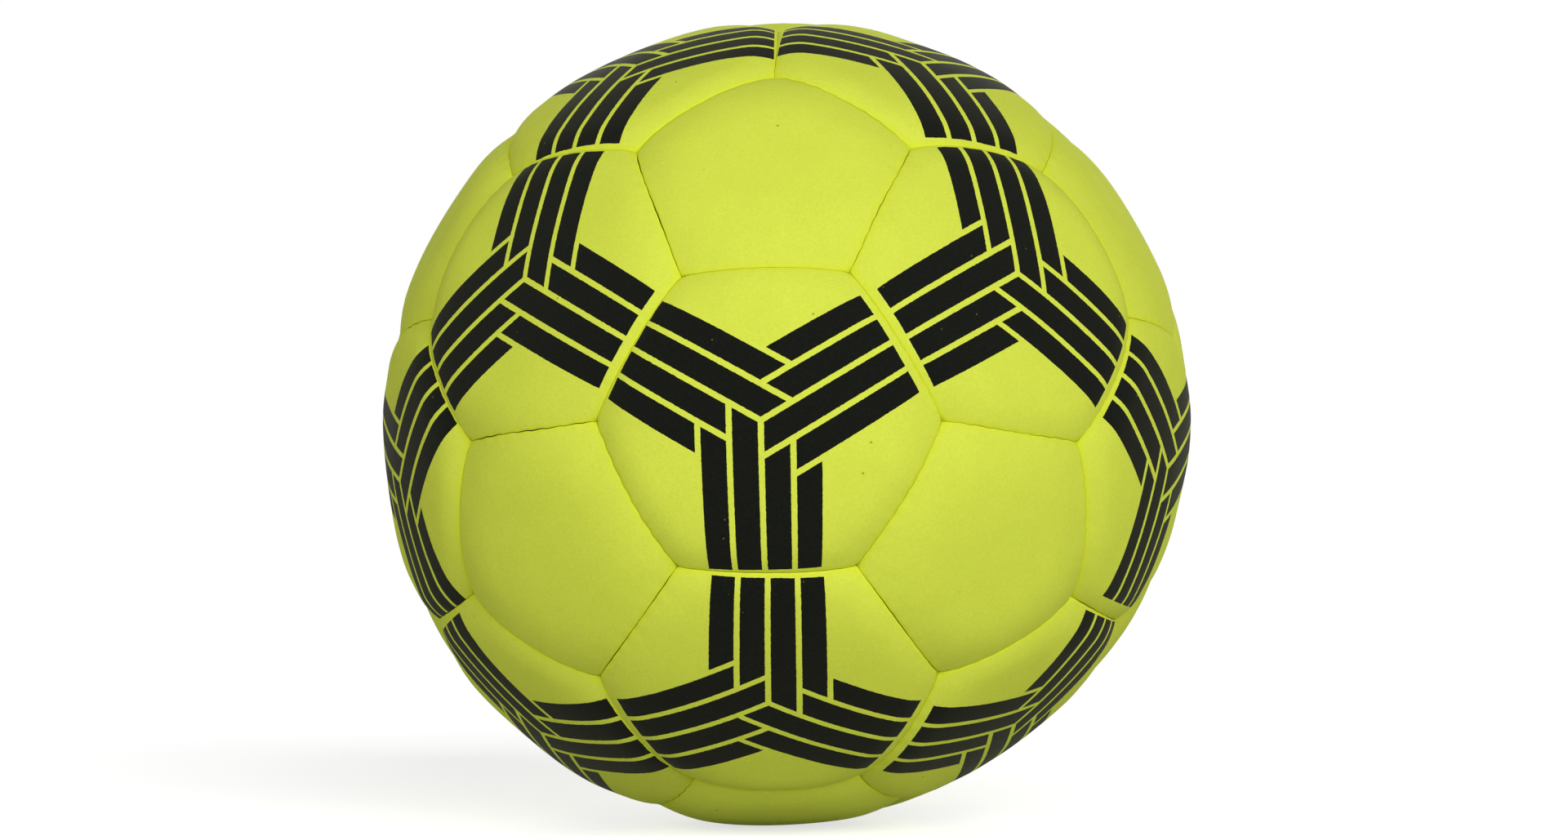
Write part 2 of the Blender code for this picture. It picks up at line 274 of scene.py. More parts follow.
def colour(name, description, hex_colour):
    """A colour that a user may change."""
    return FloatVectorProperty(
        name=name,
        description=description,
        default=linear(hex_colour),
        size=4,
        min=0.0,
        max=1.0,
        subtype="COLOR",
    )


def angle(name, description, degrees):
    """An angle that a user may change."""
    return FloatProperty(name=name, description=description, default=math.radians(degrees), subtype="ANGLE")


def level(name, description, default):
    """A share or a strength that a user may change."""
    return FloatProperty(name=name, description=description, default=default, min=0.0, subtype="FACTOR")


class CoverSettings(bpy.types.PropertyGroup):
    """Sizes and colours of the sewn felt cover."""

    diameter: length("Ball diameter", "Over the panel crowns", BALL_DIAMETER)
    panel_thickness: length("Panel thickness", "Felt, foam and woven backing together", 0.0035)
    seam_gap: length("Seam gap", "Between the two folds of a tight seam", 0.00004)
    slack_gap: length("Slack gap", "How much further the folds of a slack seam stand apart", 0.00026)
    seam_allowance: length("Seam allowance", "Panel edge turned in below the fold", 0.0050)
    swell_depth: length("Swell depth", "Drop from the crown to the fold, halfway along a side", 0.0018)
    swell_width: length("Swell width", "Over which a hexagon slopes from its crown to the fold", 0.0085)
    pentagon_swell: length("Pentagon swell width", "Over which a pentagon slopes to the fold", 0.0140)
    flatness: level("Flatness", "How much flatter the panels are than the ball", 0.20)
    corner_depth: length("Corner depth", "Of the dimple where three panels meet, below the seams", 0.0022)
    corner_reach: length("Corner reach", "From a corner, over which its dimple fades out", 0.0200)
    roll_depth: length("Roll depth", "Extra drop of the felt's edge at the fold", 0.00012)
    roll_width: length("Roll width", "Over which the edge rolls into the fold", 0.00025)
    stitch_pitch: length("Stitch pitch", "From one stitch to the next along a seam", 0.0050)
    pucker_depth: length("Pucker depth", "How far a stitch pulls the felt in", 0.00015)
    seam_wander: length("Seam wander", "How far a seam line strays to either side", 0.00026)
    felt_colour: colour("Felt", "Fluorescent yellow of the nap's tips", "#DFEB51")
    felt_shade: colour("Felt shade", "Between the nap's tips", "#D5E149")
    # Painted light: a deeper yellow in the fold that stands in for light going from fibre to fibre there
    painted_fold_light: colour("Felt in the fold", "Deeper yellow where the felt turns into a seam", "#DAE41E")
    backing_colour: colour("Backing", "Woven cloth on the inside of the panels", "#D9D6CC")


class PrintSettings(bpy.types.PropertyGroup):
    """Sizes and colour of the bars printed on the hexagons."""

    bar_width: length("Bar width", "Across one printed bar", 0.0065)
    bar_pitch: length("Bar pitch", "From one bar of an arm to the next", 0.00802)
    end_margin: length("End margin", "Bare felt between a bar's end and the seam, on the flat panel", 0.0020)
    ink_colour: colour("Ink", "Black pigment ink", "#0A0C08")
    ink_worn: colour("Worn ink", "Where fibres show through the ink", "#151711")


class FittingSettings(bpy.types.PropertyGroup):
    """Sizes and colours of the thread, the bladder and the valve."""

    thread_diameter: length("Thread diameter", "Of one waxed thread", 0.0006)
    stitch_depth: length("Stitch depth", "From the fold down to the thread", 0.0030)
    bladder_wall: length("Bladder wall", "Thickness of the latex", 0.0010)
    needle_hole: length("Needle hole", "Across the hole for the pump's needle", 0.0018)
    thread_colour: colour("Thread", "Waxed polyester, dyed to the felt", "#C3C94A")
    latex_colour: colour("Latex", "Natural latex", "#B08D62")
    rubber_colour: colour("Valve rubber", "Moulded black rubber", "#232322")


class StageSettings(bpy.types.PropertyGroup):
    """Camera, light and floor."""

    camera_distance: length("Camera distance", "From the ball's centre", 1.1)
    camera_azimuth: angle("Camera azimuth", "To the right of straight ahead", 2.5)
    camera_elevation: angle("Camera elevation", "Above the ball's centre", -0.3)
    focal_length: FloatProperty(
        name="Focal length", description="On a 36 mm wide sensor", default=92.45, unit="CAMERA"
    )
    key_light: level("Key light", "Soft light from the front right", 0.82)
    fill_light: level("Fill light", "Soft light from the front left", 0.38)
    back_light: level("Back light", "Soft light from behind and above", 0.55)
    room_light: level("Room light", "Even light from all round", 0.03)
    floor_colour: colour("Floor", "Plain pale floor", "#C2C2C0")


# The seams' layout


def unit(vectors):
    """Vectors, one to a row, at length 1."""
    return vectors / np.linalg.norm(vectors, axis=-1, keepdims=True)


def smooth(share):
    """A share held between 0 and 1, and eased at both ends."""
    share = np.clip(share, 0, 1)
    return share * share * (3 - 2 * share)


class PanelPlace:
    """Where a panel sits on the ball: its corners, the planes of its seams, and the seams it shares."""

    def __init__(self, numbers, corners, seams):
        self.sides = len(numbers)
        self.corners = corners[numbers]
        following = np.roll(self.corners, -1, axis=0)
        pairs = list(zip(numbers, numbers[1:] + numbers[:1]))
        # Both panels of a seam measure along it the same way, from its lower corner number to its higher.
        self.signs = np.array([1.0 if a < b else -1.0 for a, b in pairs])
        self.inward = unit(np.cross(self.corners, following))
        self.along = unit(following - self.corners) * self.signs[:, None]
        self.outward = unit(self.corners.sum(axis=0))
        self.lean = np.mean(np.arcsin(self.inward @ self.outward))  # of the seams from the panel's middle
        self.seams = [seams[tuple(sorted(pair))] for pair in pairs]
        self.stand = 0.0  # how far the crown stands proud of the ball's radius

    def face_side(self, side):
        """Sets the panel's own axes, with up away from this side."""
        middle = self.corners[side] + self.corners[(side + 1) % self.sides]
        down = unit(middle - self.outward * (middle @ self.outward))
        self.up = -down
        self.right = np.cross(self.up, self.outward)


def lowest_side(place, hexagons_at):
    """The side that a panel counts as its foot: the lowest, on a hexagon of those that meet hexagons."""
    kinds = hexagons_at[place.seams]
    heights = (place.corners + np.roll(place.corners, -1, axis=0))[:, 2]
    return int(np.argmin(np.where(kinds == kinds.max(), heights, np.inf)))


@functools.lru_cache
def node_middle(name):
    """Direction of a frame node's middle from the ball's centre."""
    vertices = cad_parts[name].data.vertices
    points = np.empty(len(vertices) * 3, np.float32)
    vertices.foreach_get("co", points)
    return unit(points.reshape(-1, 3).astype(float).mean(axis=0))


def sewn_corners(corners):
    """Where hand sewing leaves the corners of a true layout. The valve panel's stay true to the valve."""
    radius = BALL_DIAMETER / 2 / MM
    chance = np.random.default_rng(CORNER_SEED)
    strays = chance.uniform(-CORNER_STRAY_MM, CORNER_STRAY_MM, corners.shape)
    strays[corners @ node_middle("valve_panel") > math.cos(VALVE_CORNER_LEAN)] = 0
    for (across, up), (right, higher) in FRONT_CORNERS.items():
        seen_at = unit(np.array((across, -math.sqrt(radius**2 - across**2 - up**2), up)))
        strays[np.argmax(corners @ seen_at)] = (right, 0, higher)
    return unit(corners * radius + strays)


@functools.lru_cache
def seam_layout():
    """The panels of a truncated icosahedron, hand sewn, every seam's two corners, and its hexagons."""
    bm = bmesh.new()
    bmesh.ops.create_icosphere(bm, subdivisions=1, radius=1.0)
    bmesh.ops.bevel(
        bm, geom=bm.verts[:], offset=CORNER_CUT, offset_type="PERCENT", segments=1, affect="VERTICES"
    )
    for vertex in bm.verts:
        vertex.co.normalize()
    front = next(face for face in bm.faces if len(face.edges) == HEXAGON)
    above = next(f for edge in front.edges for f in edge.link_faces if len(f.edges) == PENTAGON)
    back = -front.calc_center_median().normalized()
    right = back.cross(above.calc_center_median()).normalized()
    turn = Matrix((right, back, right.cross(back)))
    bm.verts.index_update()
    corners = sewn_corners(unit(np.array([turn @ vertex.co for vertex in bm.verts])))
    loops = []
    for face in bm.faces:
        numbers = [vertex.index for vertex in face.verts]
        a, b = corners[numbers[0]], corners[numbers[1]]
        inside = np.cross(a, b) @ corners[numbers].sum(axis=0) > 0
        loops.append(numbers if inside else numbers[::-1])
    bm.free()
    pairs = sorted({tuple(sorted(p)) for loop in loops for p in zip(loop, loop[1:] + loop[:1])})
    seams = {pair: k for k, pair in enumerate(pairs)}
    places = [PanelPlace(loop, corners, seams) for loop in loops]
    hexagons_at = np.zeros(len(pairs), int)
    for place in places:
        for seam in place.seams:
            hexagons_at[seam] += place.sides == HEXAGON
    for place in places:
        place.face_side(lowest_side(place, hexagons_at))
    ends = [(corners[a], corners[b]) for a, b in pairs]
    return places, ends, hexagons_at


@functools.lru_cache
def panels_by_node():
    """The packed frame's cover nodes, each with the place that it takes on the ball."""
    found = {}
    for place in seam_layout()[0]:
        kind = "hexagon_panel" if place.sides == HEXAGON else ("pentagon_panel", "valve_panel")
        nodes = [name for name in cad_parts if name.startswith(kind)]
        found[max(nodes, key=lambda name: node_middle(name) @ place.outward)] = place
    if len(found) != len(seam_layout()[0]):
        raise RuntimeError("the frame's panels don't match the seams' layout")
    chance = np.random.default_rng(CROWN_SEED)
    for node in sorted(found):
        found[node].stand = chance.uniform(-CROWN_STAND_MM, CROWN_STAND_MM) * MM
    found["valve_panel"].stand = 0.0  # level with the valve
    return found


# How the felt lies


class SeamHabit:
    """One seam's own irregularities: how its line strays, how hard its stitches pull and how slack it is."""

    def __init__(self, seam):
        chance = np.random.default_rng(SEAM_SEED + seam)
        between_hexagons = seam_layout()[2][seam] == 2
        most_jog = STRAIGHT_JOG if between_hexagons else JOG_RANGE[1]
        self.jog = chance.choice((-1.0, 1.0)) * chance.uniform(JOG_RANGE[0], most_jog)
        self.bow = chance.uniform(*BOW_RANGE)
        self.bow_length = chance.uniform(*BOW_LENGTHS)
        self.bow_phase = chance.uniform(0, math.tau)
        self.start = chance.uniform(0, 1)
        self.pulls = chance.uniform(*PULL_RANGE, PULLS)
        by_chance = max(0.0, chance.uniform(*SLACK_RANGE))
        nodes = tuple(sorted(node for node, place in panels_by_node().items() if seam in place.seams))
        self.slack = SEAM_SLACK.get(nodes, by_chance)


@functools.lru_cache
def seam_habit(seam):
    """The habit of this seam, worked out once."""
    return SeamHabit(seam)


def half_side(seam, cover):
    """Half the length of a seam, along the ball."""
    a, b = seam_layout()[1][seam]
    return cover.diameter / 2 * math.acos(a @ b) / 2


def seam_calm(seam, along, cover):
    """1 along a seam and 0 at its ends, where three panels hold each other."""
    return smooth((half_side(seam, cover) - np.abs(along)) / CORNER_CALM)


def seam_stray(seam, along, cover):
    """How far a seam's line lies to its left, this far along it: a slow bow, and a jog at each stitch."""
    habit = seam_habit(seam)
    lean = np.mod(along / cover.stitch_pitch + habit.start, 1.0)
    jog = np.minimum(lean / JOG_SHARE, (1 - lean) / (1 - JOG_SHARE)) - 0.5
    bow = np.sin(math.tau * along / habit.bow_length + habit.bow_phase)
    return cover.seam_wander * (habit.jog * jog + habit.bow * bow) * seam_calm(seam, along, cover)


def seam_opening(seam, along, cover):
    """How far each fold draws back from a slack seam, this far along it."""
    habit = seam_habit(seam)
    wave = np.sin(2 * math.tau * along / habit.bow_length + habit.bow_phase)
    opening = cover.slack_gap / 2 * habit.slack * (1 - SLACK_SWING + SLACK_SWING * wave)
    return opening * seam_calm(seam, along, cover)


def stitch_pull(seam, along, cover):
    """How far the stitches draw the felt in at the seam, this far along it."""
    habit = seam_habit(seam)
    place = along / cover.stitch_pitch + habit.start + PULLS / 2
    stitch = np.clip(np.floor(place).astype(int), 0, PULLS - 1)
    dimple = 0.5 - 0.5 * np.cos(math.tau * place)
    return cover.pucker_depth * habit.pulls[stitch] * dimple * seam_calm(seam, along, cover)


def unevenness(ways):
    """Slight waviness of the inflated cover."""
    chance = np.random.default_rng(WAVE_SEED)
    total = np.zeros(len(ways))
    for wave in WAVE_LENGTHS:
        crest = unit(chance.normal(size=3))
        total += np.sin(math.tau * (ways @ crest) / wave + chance.uniform(0, math.tau))
    return UNEVENNESS * total


def out_of_round(points):
    """These points of the ball, moved in or out where the whole ball is pulled out of round."""
    ways = unit(points)
    across = np.hypot(ways[:, 0], ways[:, 2])
    turn = np.arctan2(ways[:, 2], ways[:, 0])
    seen = 1 - smooth(ways[:, 1] / ROUND_BEHIND)
    moved = points.copy()
    for count, swell, first in OUTLINE_SWELLS:
        pull = swell * MM * seen * across**count * np.cos(count * (turn - math.radians(first)))
        moved += ways * pull[:, None]
    return moved


def seam_distances(place, ways, cover):
    """Distance of these directions from each of the panel's seams, and how far along each they are."""
    radius = cover.diameter / 2
    offsets = radius * ways @ place.inward.T
    along = radius * np.arcsin(np.clip(ways @ place.along.T, -1, 1))
    return offsets, along


def nearest_seam(offsets):
    """Distance from the nearest seam, rounded where two seams meet."""
    least = offsets.min(axis=1)
    return least - CORNER_ROUND * np.log(np.exp(-(offsets - least[:, None]) / CORNER_ROUND).sum(axis=1))


def seam_shift(place, ways, cover):
    """How far the felt is carried sideways by the wander and the slack of the seams near it."""
    offsets, along = seam_distances(place, ways, cover)
    shift = np.zeros_like(ways)
    for k, seam in enumerate(place.seams):
        stray = place.signs[k] * seam_stray(seam, along[:, k], cover)
        carried = stray * np.exp(-offsets[:, k] / WANDER_REACH)
        carried += seam_opening(seam, along[:, k], cover) * np.exp(-offsets[:, k] / SLACK_REACH)
        shift += carried[:, None] * place.inward[k]
    return shift


def corner_sink(place, ways, cover):
    """How far the dimples at the panel's corners lower these directions."""
    away = np.arccos(np.clip(ways @ place.corners.T, -1, 1)) * cover.diameter / 2
    return cover.corner_depth * (np.clip(1 - away / cover.corner_reach, 0, None) ** 2).sum(axis=1)


def felt_face(place, ways, cover):
    """Points of the felt's face along these directions."""
    radius = cover.diameter / 2
    offsets, along = seam_distances(place, ways, cover)
    nearest = nearest_seam(offsets)
    width = cover.pentagon_swell if place.sides == PENTAGON else cover.swell_width
    slope = np.clip(1 - nearest / width, 0, None) ** 2
    drop = cover.swell_depth * slope - place.stand * (1 - slope)
    lean = np.arccos(np.clip(ways @ place.outward, -1, 1))
    drop += cover.flatness * radius / 2 * (place.lean**2 - lean**2)
    drop += cover.roll_depth * np.exp(-nearest / cover.roll_width)
    for k, seam in enumerate(place.seams):
        drop += stitch_pull(seam, along[:, k], cover) * np.exp(-offsets[:, k] / PUCKER_REACH)
    drop += corner_sink(place, ways, cover) + unevenness(ways)
    return ways * (radius - drop)[:, None] + seam_shift(place, ways, cover)


def ring(place, offset, radius, steps):
    """Points round a panel, each this far from the nearest seam plane and from the ball's centre."""
    points = []
    corners = []
    for k in range(place.sides):
        before, after = place.inward[k - 1], place.inward[k]
        base = (before + after) * (offset / (1 + before @ after))
        line = unit(np.cross(before, after))
        line = line * np.sign(line @ place.outward)
        corners.append(base + line * math.sqrt(radius**2 - base @ base))
    for k in range(place.sides):
        foot = place.inward[k] * offset
        start, end = corners[k] - foot, corners[(k + 1) % place.sides] - foot
        turn = math.acos(unit(start) @ unit(end))
        share = np.arange(steps)[:, None] / steps
        way = (np.sin((1 - share) * turn) * start + np.sin(share * turn) * end) / math.sin(turn)
        points.append(foot + way)
    return np.concatenate(points)


# Building a panel


class PanelShell:
    """Gathers a panel's points and faces, with their places on the bake's map."""

    def __init__(self, place, cover):
        self.place = place
        self.cover = cover
        self.points = []
        self.felt_map = []
        self.backing_map = []
        self.seam = []
        self.count = 0
        self.felt = []
        self.backing = []

    def spread(self, points):
        """Points rolled out flat round the panel's middle, true to their distance from it."""
        ways = unit(points)
        lean = np.arccos(np.clip(ways @ self.place.outward, -1, 1))
        flat = np.stack((ways @ self.place.right, ways @ self.place.up), axis=1)
        size = np.linalg.norm(flat, axis=1)
        return flat * (lean * self.cover.diameter / 2 / np.maximum(size, NEAR_ZERO))[:, None]

    def add(self, points, felt_flat=None, backing_flat=None, seam=0.0):
        """Adds points and returns their numbers. The flat places are on the felt's and the backing's map."""
        nowhere = np.zeros((len(points), 2))
        self.points.append(points)
        self.felt_map.append(nowhere if felt_flat is None else felt_flat)
        self.backing_map.append(nowhere if backing_flat is None else backing_flat)
        self.seam.append(np.broadcast_to(seam, len(points)))
        numbers = np.arange(self.count, self.count + len(points))
        self.count += len(points)
        return numbers

    def ways_of(self, numbers):
        """Directions of the points with these numbers from the ball's centre."""
        return unit(np.concatenate(self.points)[numbers])

    def bake_places(self, corners):
        """Places on the bake's map of every face's corners, the felt's faces first."""
        felt_corners = sum(len(face) for face in self.felt)
        felt_flat = np.concatenate(self.felt_map)
        backing_flat = np.concatenate(self.backing_map)
        span = 2 * (1 + BAKE_MARGIN) * np.abs(felt_flat).max()
        places = BAKE_MIDDLE + felt_flat[corners] / span
        shrink = BACKING_SPREAD / np.linalg.norm(backing_flat, axis=1).max()
        places[felt_corners:] = np.array(BACKING_PLACE) + backing_flat[corners[felt_corners:]] * shrink
        return places

    def print_places(self, points, print_place):
        """Where these points lie on the flat panel, in millimetres right and up of the print's middle."""
        across, up, turn = print_place
        cosine, sine = math.cos(math.radians(turn)), math.sin(math.radians(turn))
        flat = np.stack((points @ self.place.right, points @ self.place.up), axis=1)
        flat *= (self.cover.diameter / 2 / MM / (points @ self.place.outward))[:, None]
        return (flat - (across, up)) @ np.array(((cosine, -sine), (sine, cosine)))

    def mesh(self, name, print_place=(0.0, 0.0, 0.0)):
        """The finished mesh, with its maps, its distance from the seams and its two finishes."""
        points = np.concatenate(self.points)
        mesh = bpy.data.meshes.new(name)
        mesh.from_pydata(out_of_round(points).tolist(), [], self.felt + self.backing)
        corners = np.empty(len(mesh.loops), np.int32)
        mesh.loops.foreach_get("vertex_index", corners)
        baked = self.bake_places(corners)
        printed = self.print_places(points, print_place)[corners]
        for map_name, places in ((BAKE_MAP, baked), (PRINT_MAP, printed)):
            layer = mesh.uv_layers.new(name=map_name)
            layer.uv.foreach_set("vector", places.astype(np.float32).ravel())
        seam = mesh.attributes.new(SEAM_ATTRIBUTE, "FLOAT", "POINT")
        seam.data.foreach_set("value", np.concatenate(self.seam).astype(np.float32))
        finish = np.repeat((0, 1), (len(self.felt), len(self.backing)))
        mesh.polygons.foreach_set("material_index", finish.astype(np.int32))
        mesh.shade_smooth()
        mesh.set_sharp_from_angle(angle=SHARP_FELT)
        mesh.validate()
        mesh.update()
        return mesh


def join(faces, outer, inner):
    """Adds faces between two rings of as many points, outer being the further from the felt's middle."""
    quads = np.stack((outer, np.roll(outer, -1), np.roll(inner, -1), inner), axis=1)
    faces.extend(quads.tolist())


def join_coarse(faces, coarse, fine):
    """Adds faces between a ring of few points, further from the felt's middle, and one of many."""
    step = len(fine) // len(coarse)
    closed = np.append(fine, fine[0])
    for k in range(len(coarse)):
        run = closed[k * step : (k + 1) * step + 1]
        faces.append([coarse[k], coarse[(k + 1) % len(coarse)], *run[::-1]])


def join_halved(faces, outer, inner):
    """Adds faces from a ring to one of half as many points inside it."""
    inner_next = np.roll(inner, -1)
    middle, following = outer[1::2], np.roll(outer, -2)[::2]
    faces.extend(np.stack((outer[::2], middle, inner), axis=1).tolist())
    faces.extend(np.stack((middle, inner_next, inner), axis=1).tolist())
    faces.extend(np.stack((middle, following, inner_next), axis=1).tolist())


def outwards(flat, distance):
    """Flat places carried this much further from the middle."""
    return flat + unit(flat) * distance


def face_points(shell, ways):
    """What a shell adds for the felt's face along these directions."""
    points = felt_face(shell.place, ways, shell.cover)
    seam = nearest_seam(seam_distances(shell.place, ways, shell.cover)[0])
    return points, shell.spread(points), None, seam


def felt_rings(shell):
    """The felt's face from the fold up to the crown's edge. Returns the fold's and the crown's ring."""
    radius = shell.cover.diameter / 2
    offsets = [(shell.cover.seam_gap / 2, SIDE_STEPS)]
    offsets += [(mm * MM, steps) for mm, steps in FELT_RINGS]
    rings = []
    for offset, steps in offsets:
        ways = ring(shell.place, offset, radius, steps) / radius
        rings.append(shell.add(*face_points(shell, ways)))
    for outer, inner in zip(rings, rings[1:]):
        if len(outer) == len(inner):
            join(shell.felt, outer, inner)
        else:
            join_halved(shell.felt, outer, inner)
    return rings[0], rings[-1]


def crown(shell, edge):
    """The felt's face inside the crown's edge: one grid for each corner of the panel."""
    place = shell.place
    half = CROWN_STEPS // 2
    edge_ways = shell.ways_of(edge)
    middle = shell.add(*face_points(shell, place.outward[None, :]))[0]
    share = np.arange(half + 1) / half
    across, along = np.meshgrid(share, share, indexing="ij")
    across, along = across[..., None], along[..., None]
    grids = []
    for k in range(place.sides):
        grid = np.full((half + 1, half + 1), -1)
        before = (k * CROWN_STEPS - half) % len(edge)
        after = k * CROWN_STEPS + half
        ways = unit(
            place.outward * (1 - across) * (1 - along)
            + edge_ways[before] * across * (1 - along)
            + edge_ways[k * CROWN_STEPS] * across * along
            + edge_ways[after] * (1 - across) * along
        )
        inside = ways[:half, 1:half].reshape(-1, 3)
        grid[:half, 1:half] = shell.add(*face_points(shell, inside)).reshape(half, half - 1)
        grid[half, :] = edge[(before + np.arange(half + 1)) % len(edge)]
        grid[:, half] = edge[(after - np.arange(half + 1)) % len(edge)]
        grid[0, 0] = middle
        grids.append(grid)
    for k, grid in enumerate(grids):
        grid[1:half, 0] = grids[k - 1][0, 1:half]
        quads = np.stack((grid[:-1, :-1], grid[1:, :-1], grid[1:, 1:], grid[:-1, 1:]), axis=-1)
        shell.felt.extend(quads.reshape(-1, 4).tolist())


def turned_in_edge(shell, fold, steps):
    """The edge below the fold, its cut end and the backing's wall. Returns the wall's top ring."""
    place, cover = shell.place, shell.cover
    radius = cover.diameter / 2
    fold_depth = cover.roll_depth + cover.swell_depth
    half_gap = cover.seam_gap / 2
    flat = np.concatenate(shell.felt_map)[fold]
    upper = fold
    for depth in FLANGE_DEPTHS:
        points = ring(place, half_gap + EDGE_SPLAY * depth, radius - fold_depth - depth, SIDE_STEPS)
        ways = unit(points)
        sink = corner_sink(place, ways, cover) * (1 - depth / cover.seam_allowance)
        points += seam_shift(place, ways, cover) - ways * sink[:, None]
        lower = shell.add(points, outwards(flat, depth), None, -depth)
        join(shell.felt, lower, upper)
        upper = lower
    tip = half_gap + EDGE_SPLAY * cover.seam_allowance
    inside = tip + cover.panel_thickness
    low = radius - fold_depth - cover.seam_allowance
    wall_top = radius - cover.panel_thickness - fold_depth * WALL_DROP
    wall = wall_top - low
    top = ring(place, inside, wall_top, steps)
    top_flat = shell.spread(top)
    tip_ring = shell.add(
        ring(place, tip, low, steps),
        outwards(flat[:: SIDE_STEPS // steps], cover.seam_allowance),
        outwards(top_flat, wall + cover.panel_thickness),
        -cover.seam_allowance,
    )
    join_coarse(shell.felt, tip_ring, upper)
    cut = shell.add(ring(place, inside, low, steps), None, outwards(top_flat, wall))
    top_ring = shell.add(top, None, top_flat)
    join(shell.backing, cut, tip_ring)
    join(shell.backing, top_ring, cut)
    return top_ring


def backing_rings(shell, wall_top, goal, shares):
    """The backing from the wall's top ring, these shares of the way to a goal. Returns the last ring."""
    inner = shell.cover.diameter / 2 - shell.cover.panel_thickness
    start = shell.ways_of(wall_top)
    outer = wall_top
    for share in shares:
        points = unit(start * (1 - share) + goal * share) * inner
        following = shell.add(points, None, shell.spread(points))
        join(shell.backing, following, outer)
        outer = following
    return outer


def plain_backing(shell, wall_top):
    """Closes the inside of a panel over its middle."""
    place, cover = shell.place, shell.cover
    last = backing_rings(shell, wall_top, place.outward, BACKING_RINGS)
    inner = cover.diameter / 2 - cover.panel_thickness
    middle = shell.add(place.outward[None, :] * inner, None, np.zeros((1, 2)))[0]
    for k in range(len(last)):
        shell.backing.append([middle, last[(k + 1) % len(last)], last[k]])


def punched_crown(shell, crown_edge, wall_top, hole_radius):
    """Carries the valve panel's felt to its punched hole, down the hole and back over the backing."""
    place, cover = shell.place, shell.cover
    radius = cover.diameter / 2
    ways = shell.ways_of(crown_edge)
    flat = unit(shell.spread(ways))
    lean = math.asin(hole_radius / radius)
    rim = flat[:, :1] * place.right + flat[:, 1:] * place.up
    rim = place.outward * math.cos(lean) + rim * math.sin(lean)
    outer = crown_edge
    for k in range(1, HOLE_RINGS + 1):
        share = 1 - (1 - k / HOLE_RINGS) ** HOLE_CROWDING
        points, places, _, seam = face_points(shell, unit(ways * (1 - share) + rim * share))
        across = np.linalg.norm(places, axis=1)
        dip = HOLE_DIP * np.exp((hole_radius - across) / HOLE_DIP_REACH)
        points *= (1 - dip / radius)[:, None]
        following = shell.add(points, places, None, seam)
        join(shell.felt, outer, following)
        outer = following
    edge_flat = np.concatenate(shell.felt_map)[outer]
    inner_flat = shell.spread(rim * (radius - cover.panel_thickness))
    for share in HOLE_WALL_RINGS:
        depth = cover.panel_thickness * share
        points = rim * (radius - HOLE_EDGE) - place.outward * (depth - HOLE_EDGE * share)
        flat_in = outwards(edge_flat, -depth * HOLE_WALL_SHARE)
        following = shell.add(points, flat_in, inner_flat, FAR_FROM_SEAMS)
        join(shell.felt, outer, following)
        outer = following
    join(shell.backing, outer, backing_rings(shell, wall_top, rim, HOLE_BACKING_RINGS))


def put_in_place(name, mesh, finishes, node):
    """Puts a piece in place of its node in the frame."""
    for finish in finishes:
        mesh.materials.append(finish)
    piece = bpy.data.objects.new(name, mesh)
    bpy.context.scene.collection.objects.link(piece)
    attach(piece, BODY)
    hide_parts(node)
    return piece


def put_panel_in_place(name, shell, finish, node, print_place=(0.0, 0.0, 0.0)):
    """Puts a finished panel in place of its node."""
    mesh = shell.mesh(name, print_place)
    panel = put_in_place(name, mesh, (finish, backing_cloth(shell.cover)), node)


def sew_panel(node, finish, cover, print_place=(0.0, 0.0, 0.0)):
    """A closed panel in place of this node."""
    shell = PanelShell(panels_by_node()[node], cover)
    fold, edge = felt_rings(shell)
    crown(shell, edge)
    plain_backing(shell, turned_in_edge(shell, fold, BACKING_STEPS))
    put_panel_in_place("felt_" + node.replace("_panel", ""), shell, finish, node, print_place)


# Finishes


def set_inputs(tree, node, values):
    """Sets a node's inputs, by name or number, to plain values, or links them to other nodes' outputs."""
    for socket, value in values.items():
        if isinstance(value, bpy.types.NodeSocket):
            tree.links.new(value, node.inputs[socket])
        else:
            node.inputs[socket].default_value = value


def add_node(tree, kind, inputs=None, output=None, **settings):
    """Adds a node with its settings and inputs. Returns the output of this name, or the first in use."""
    node = tree.nodes.new(kind)
    for setting, value in settings.items():
        setattr(node, setting, value)
    set_inputs(tree, node, inputs or {})
    return node.outputs[output] if output else next(socket for socket in node.outputs if socket.enabled)


def new_finish(name):
    """A new material. Returns it, its node tree, its shader, and the place of a point on the ball."""
    finish = bpy.data.materials.new(name)
    finish.use_nodes = True
    tree = finish.node_tree
    where = add_node(tree, "ShaderNodeTexCoord", output="Object")
    return finish, tree, tree.nodes["Principled BSDF"], where


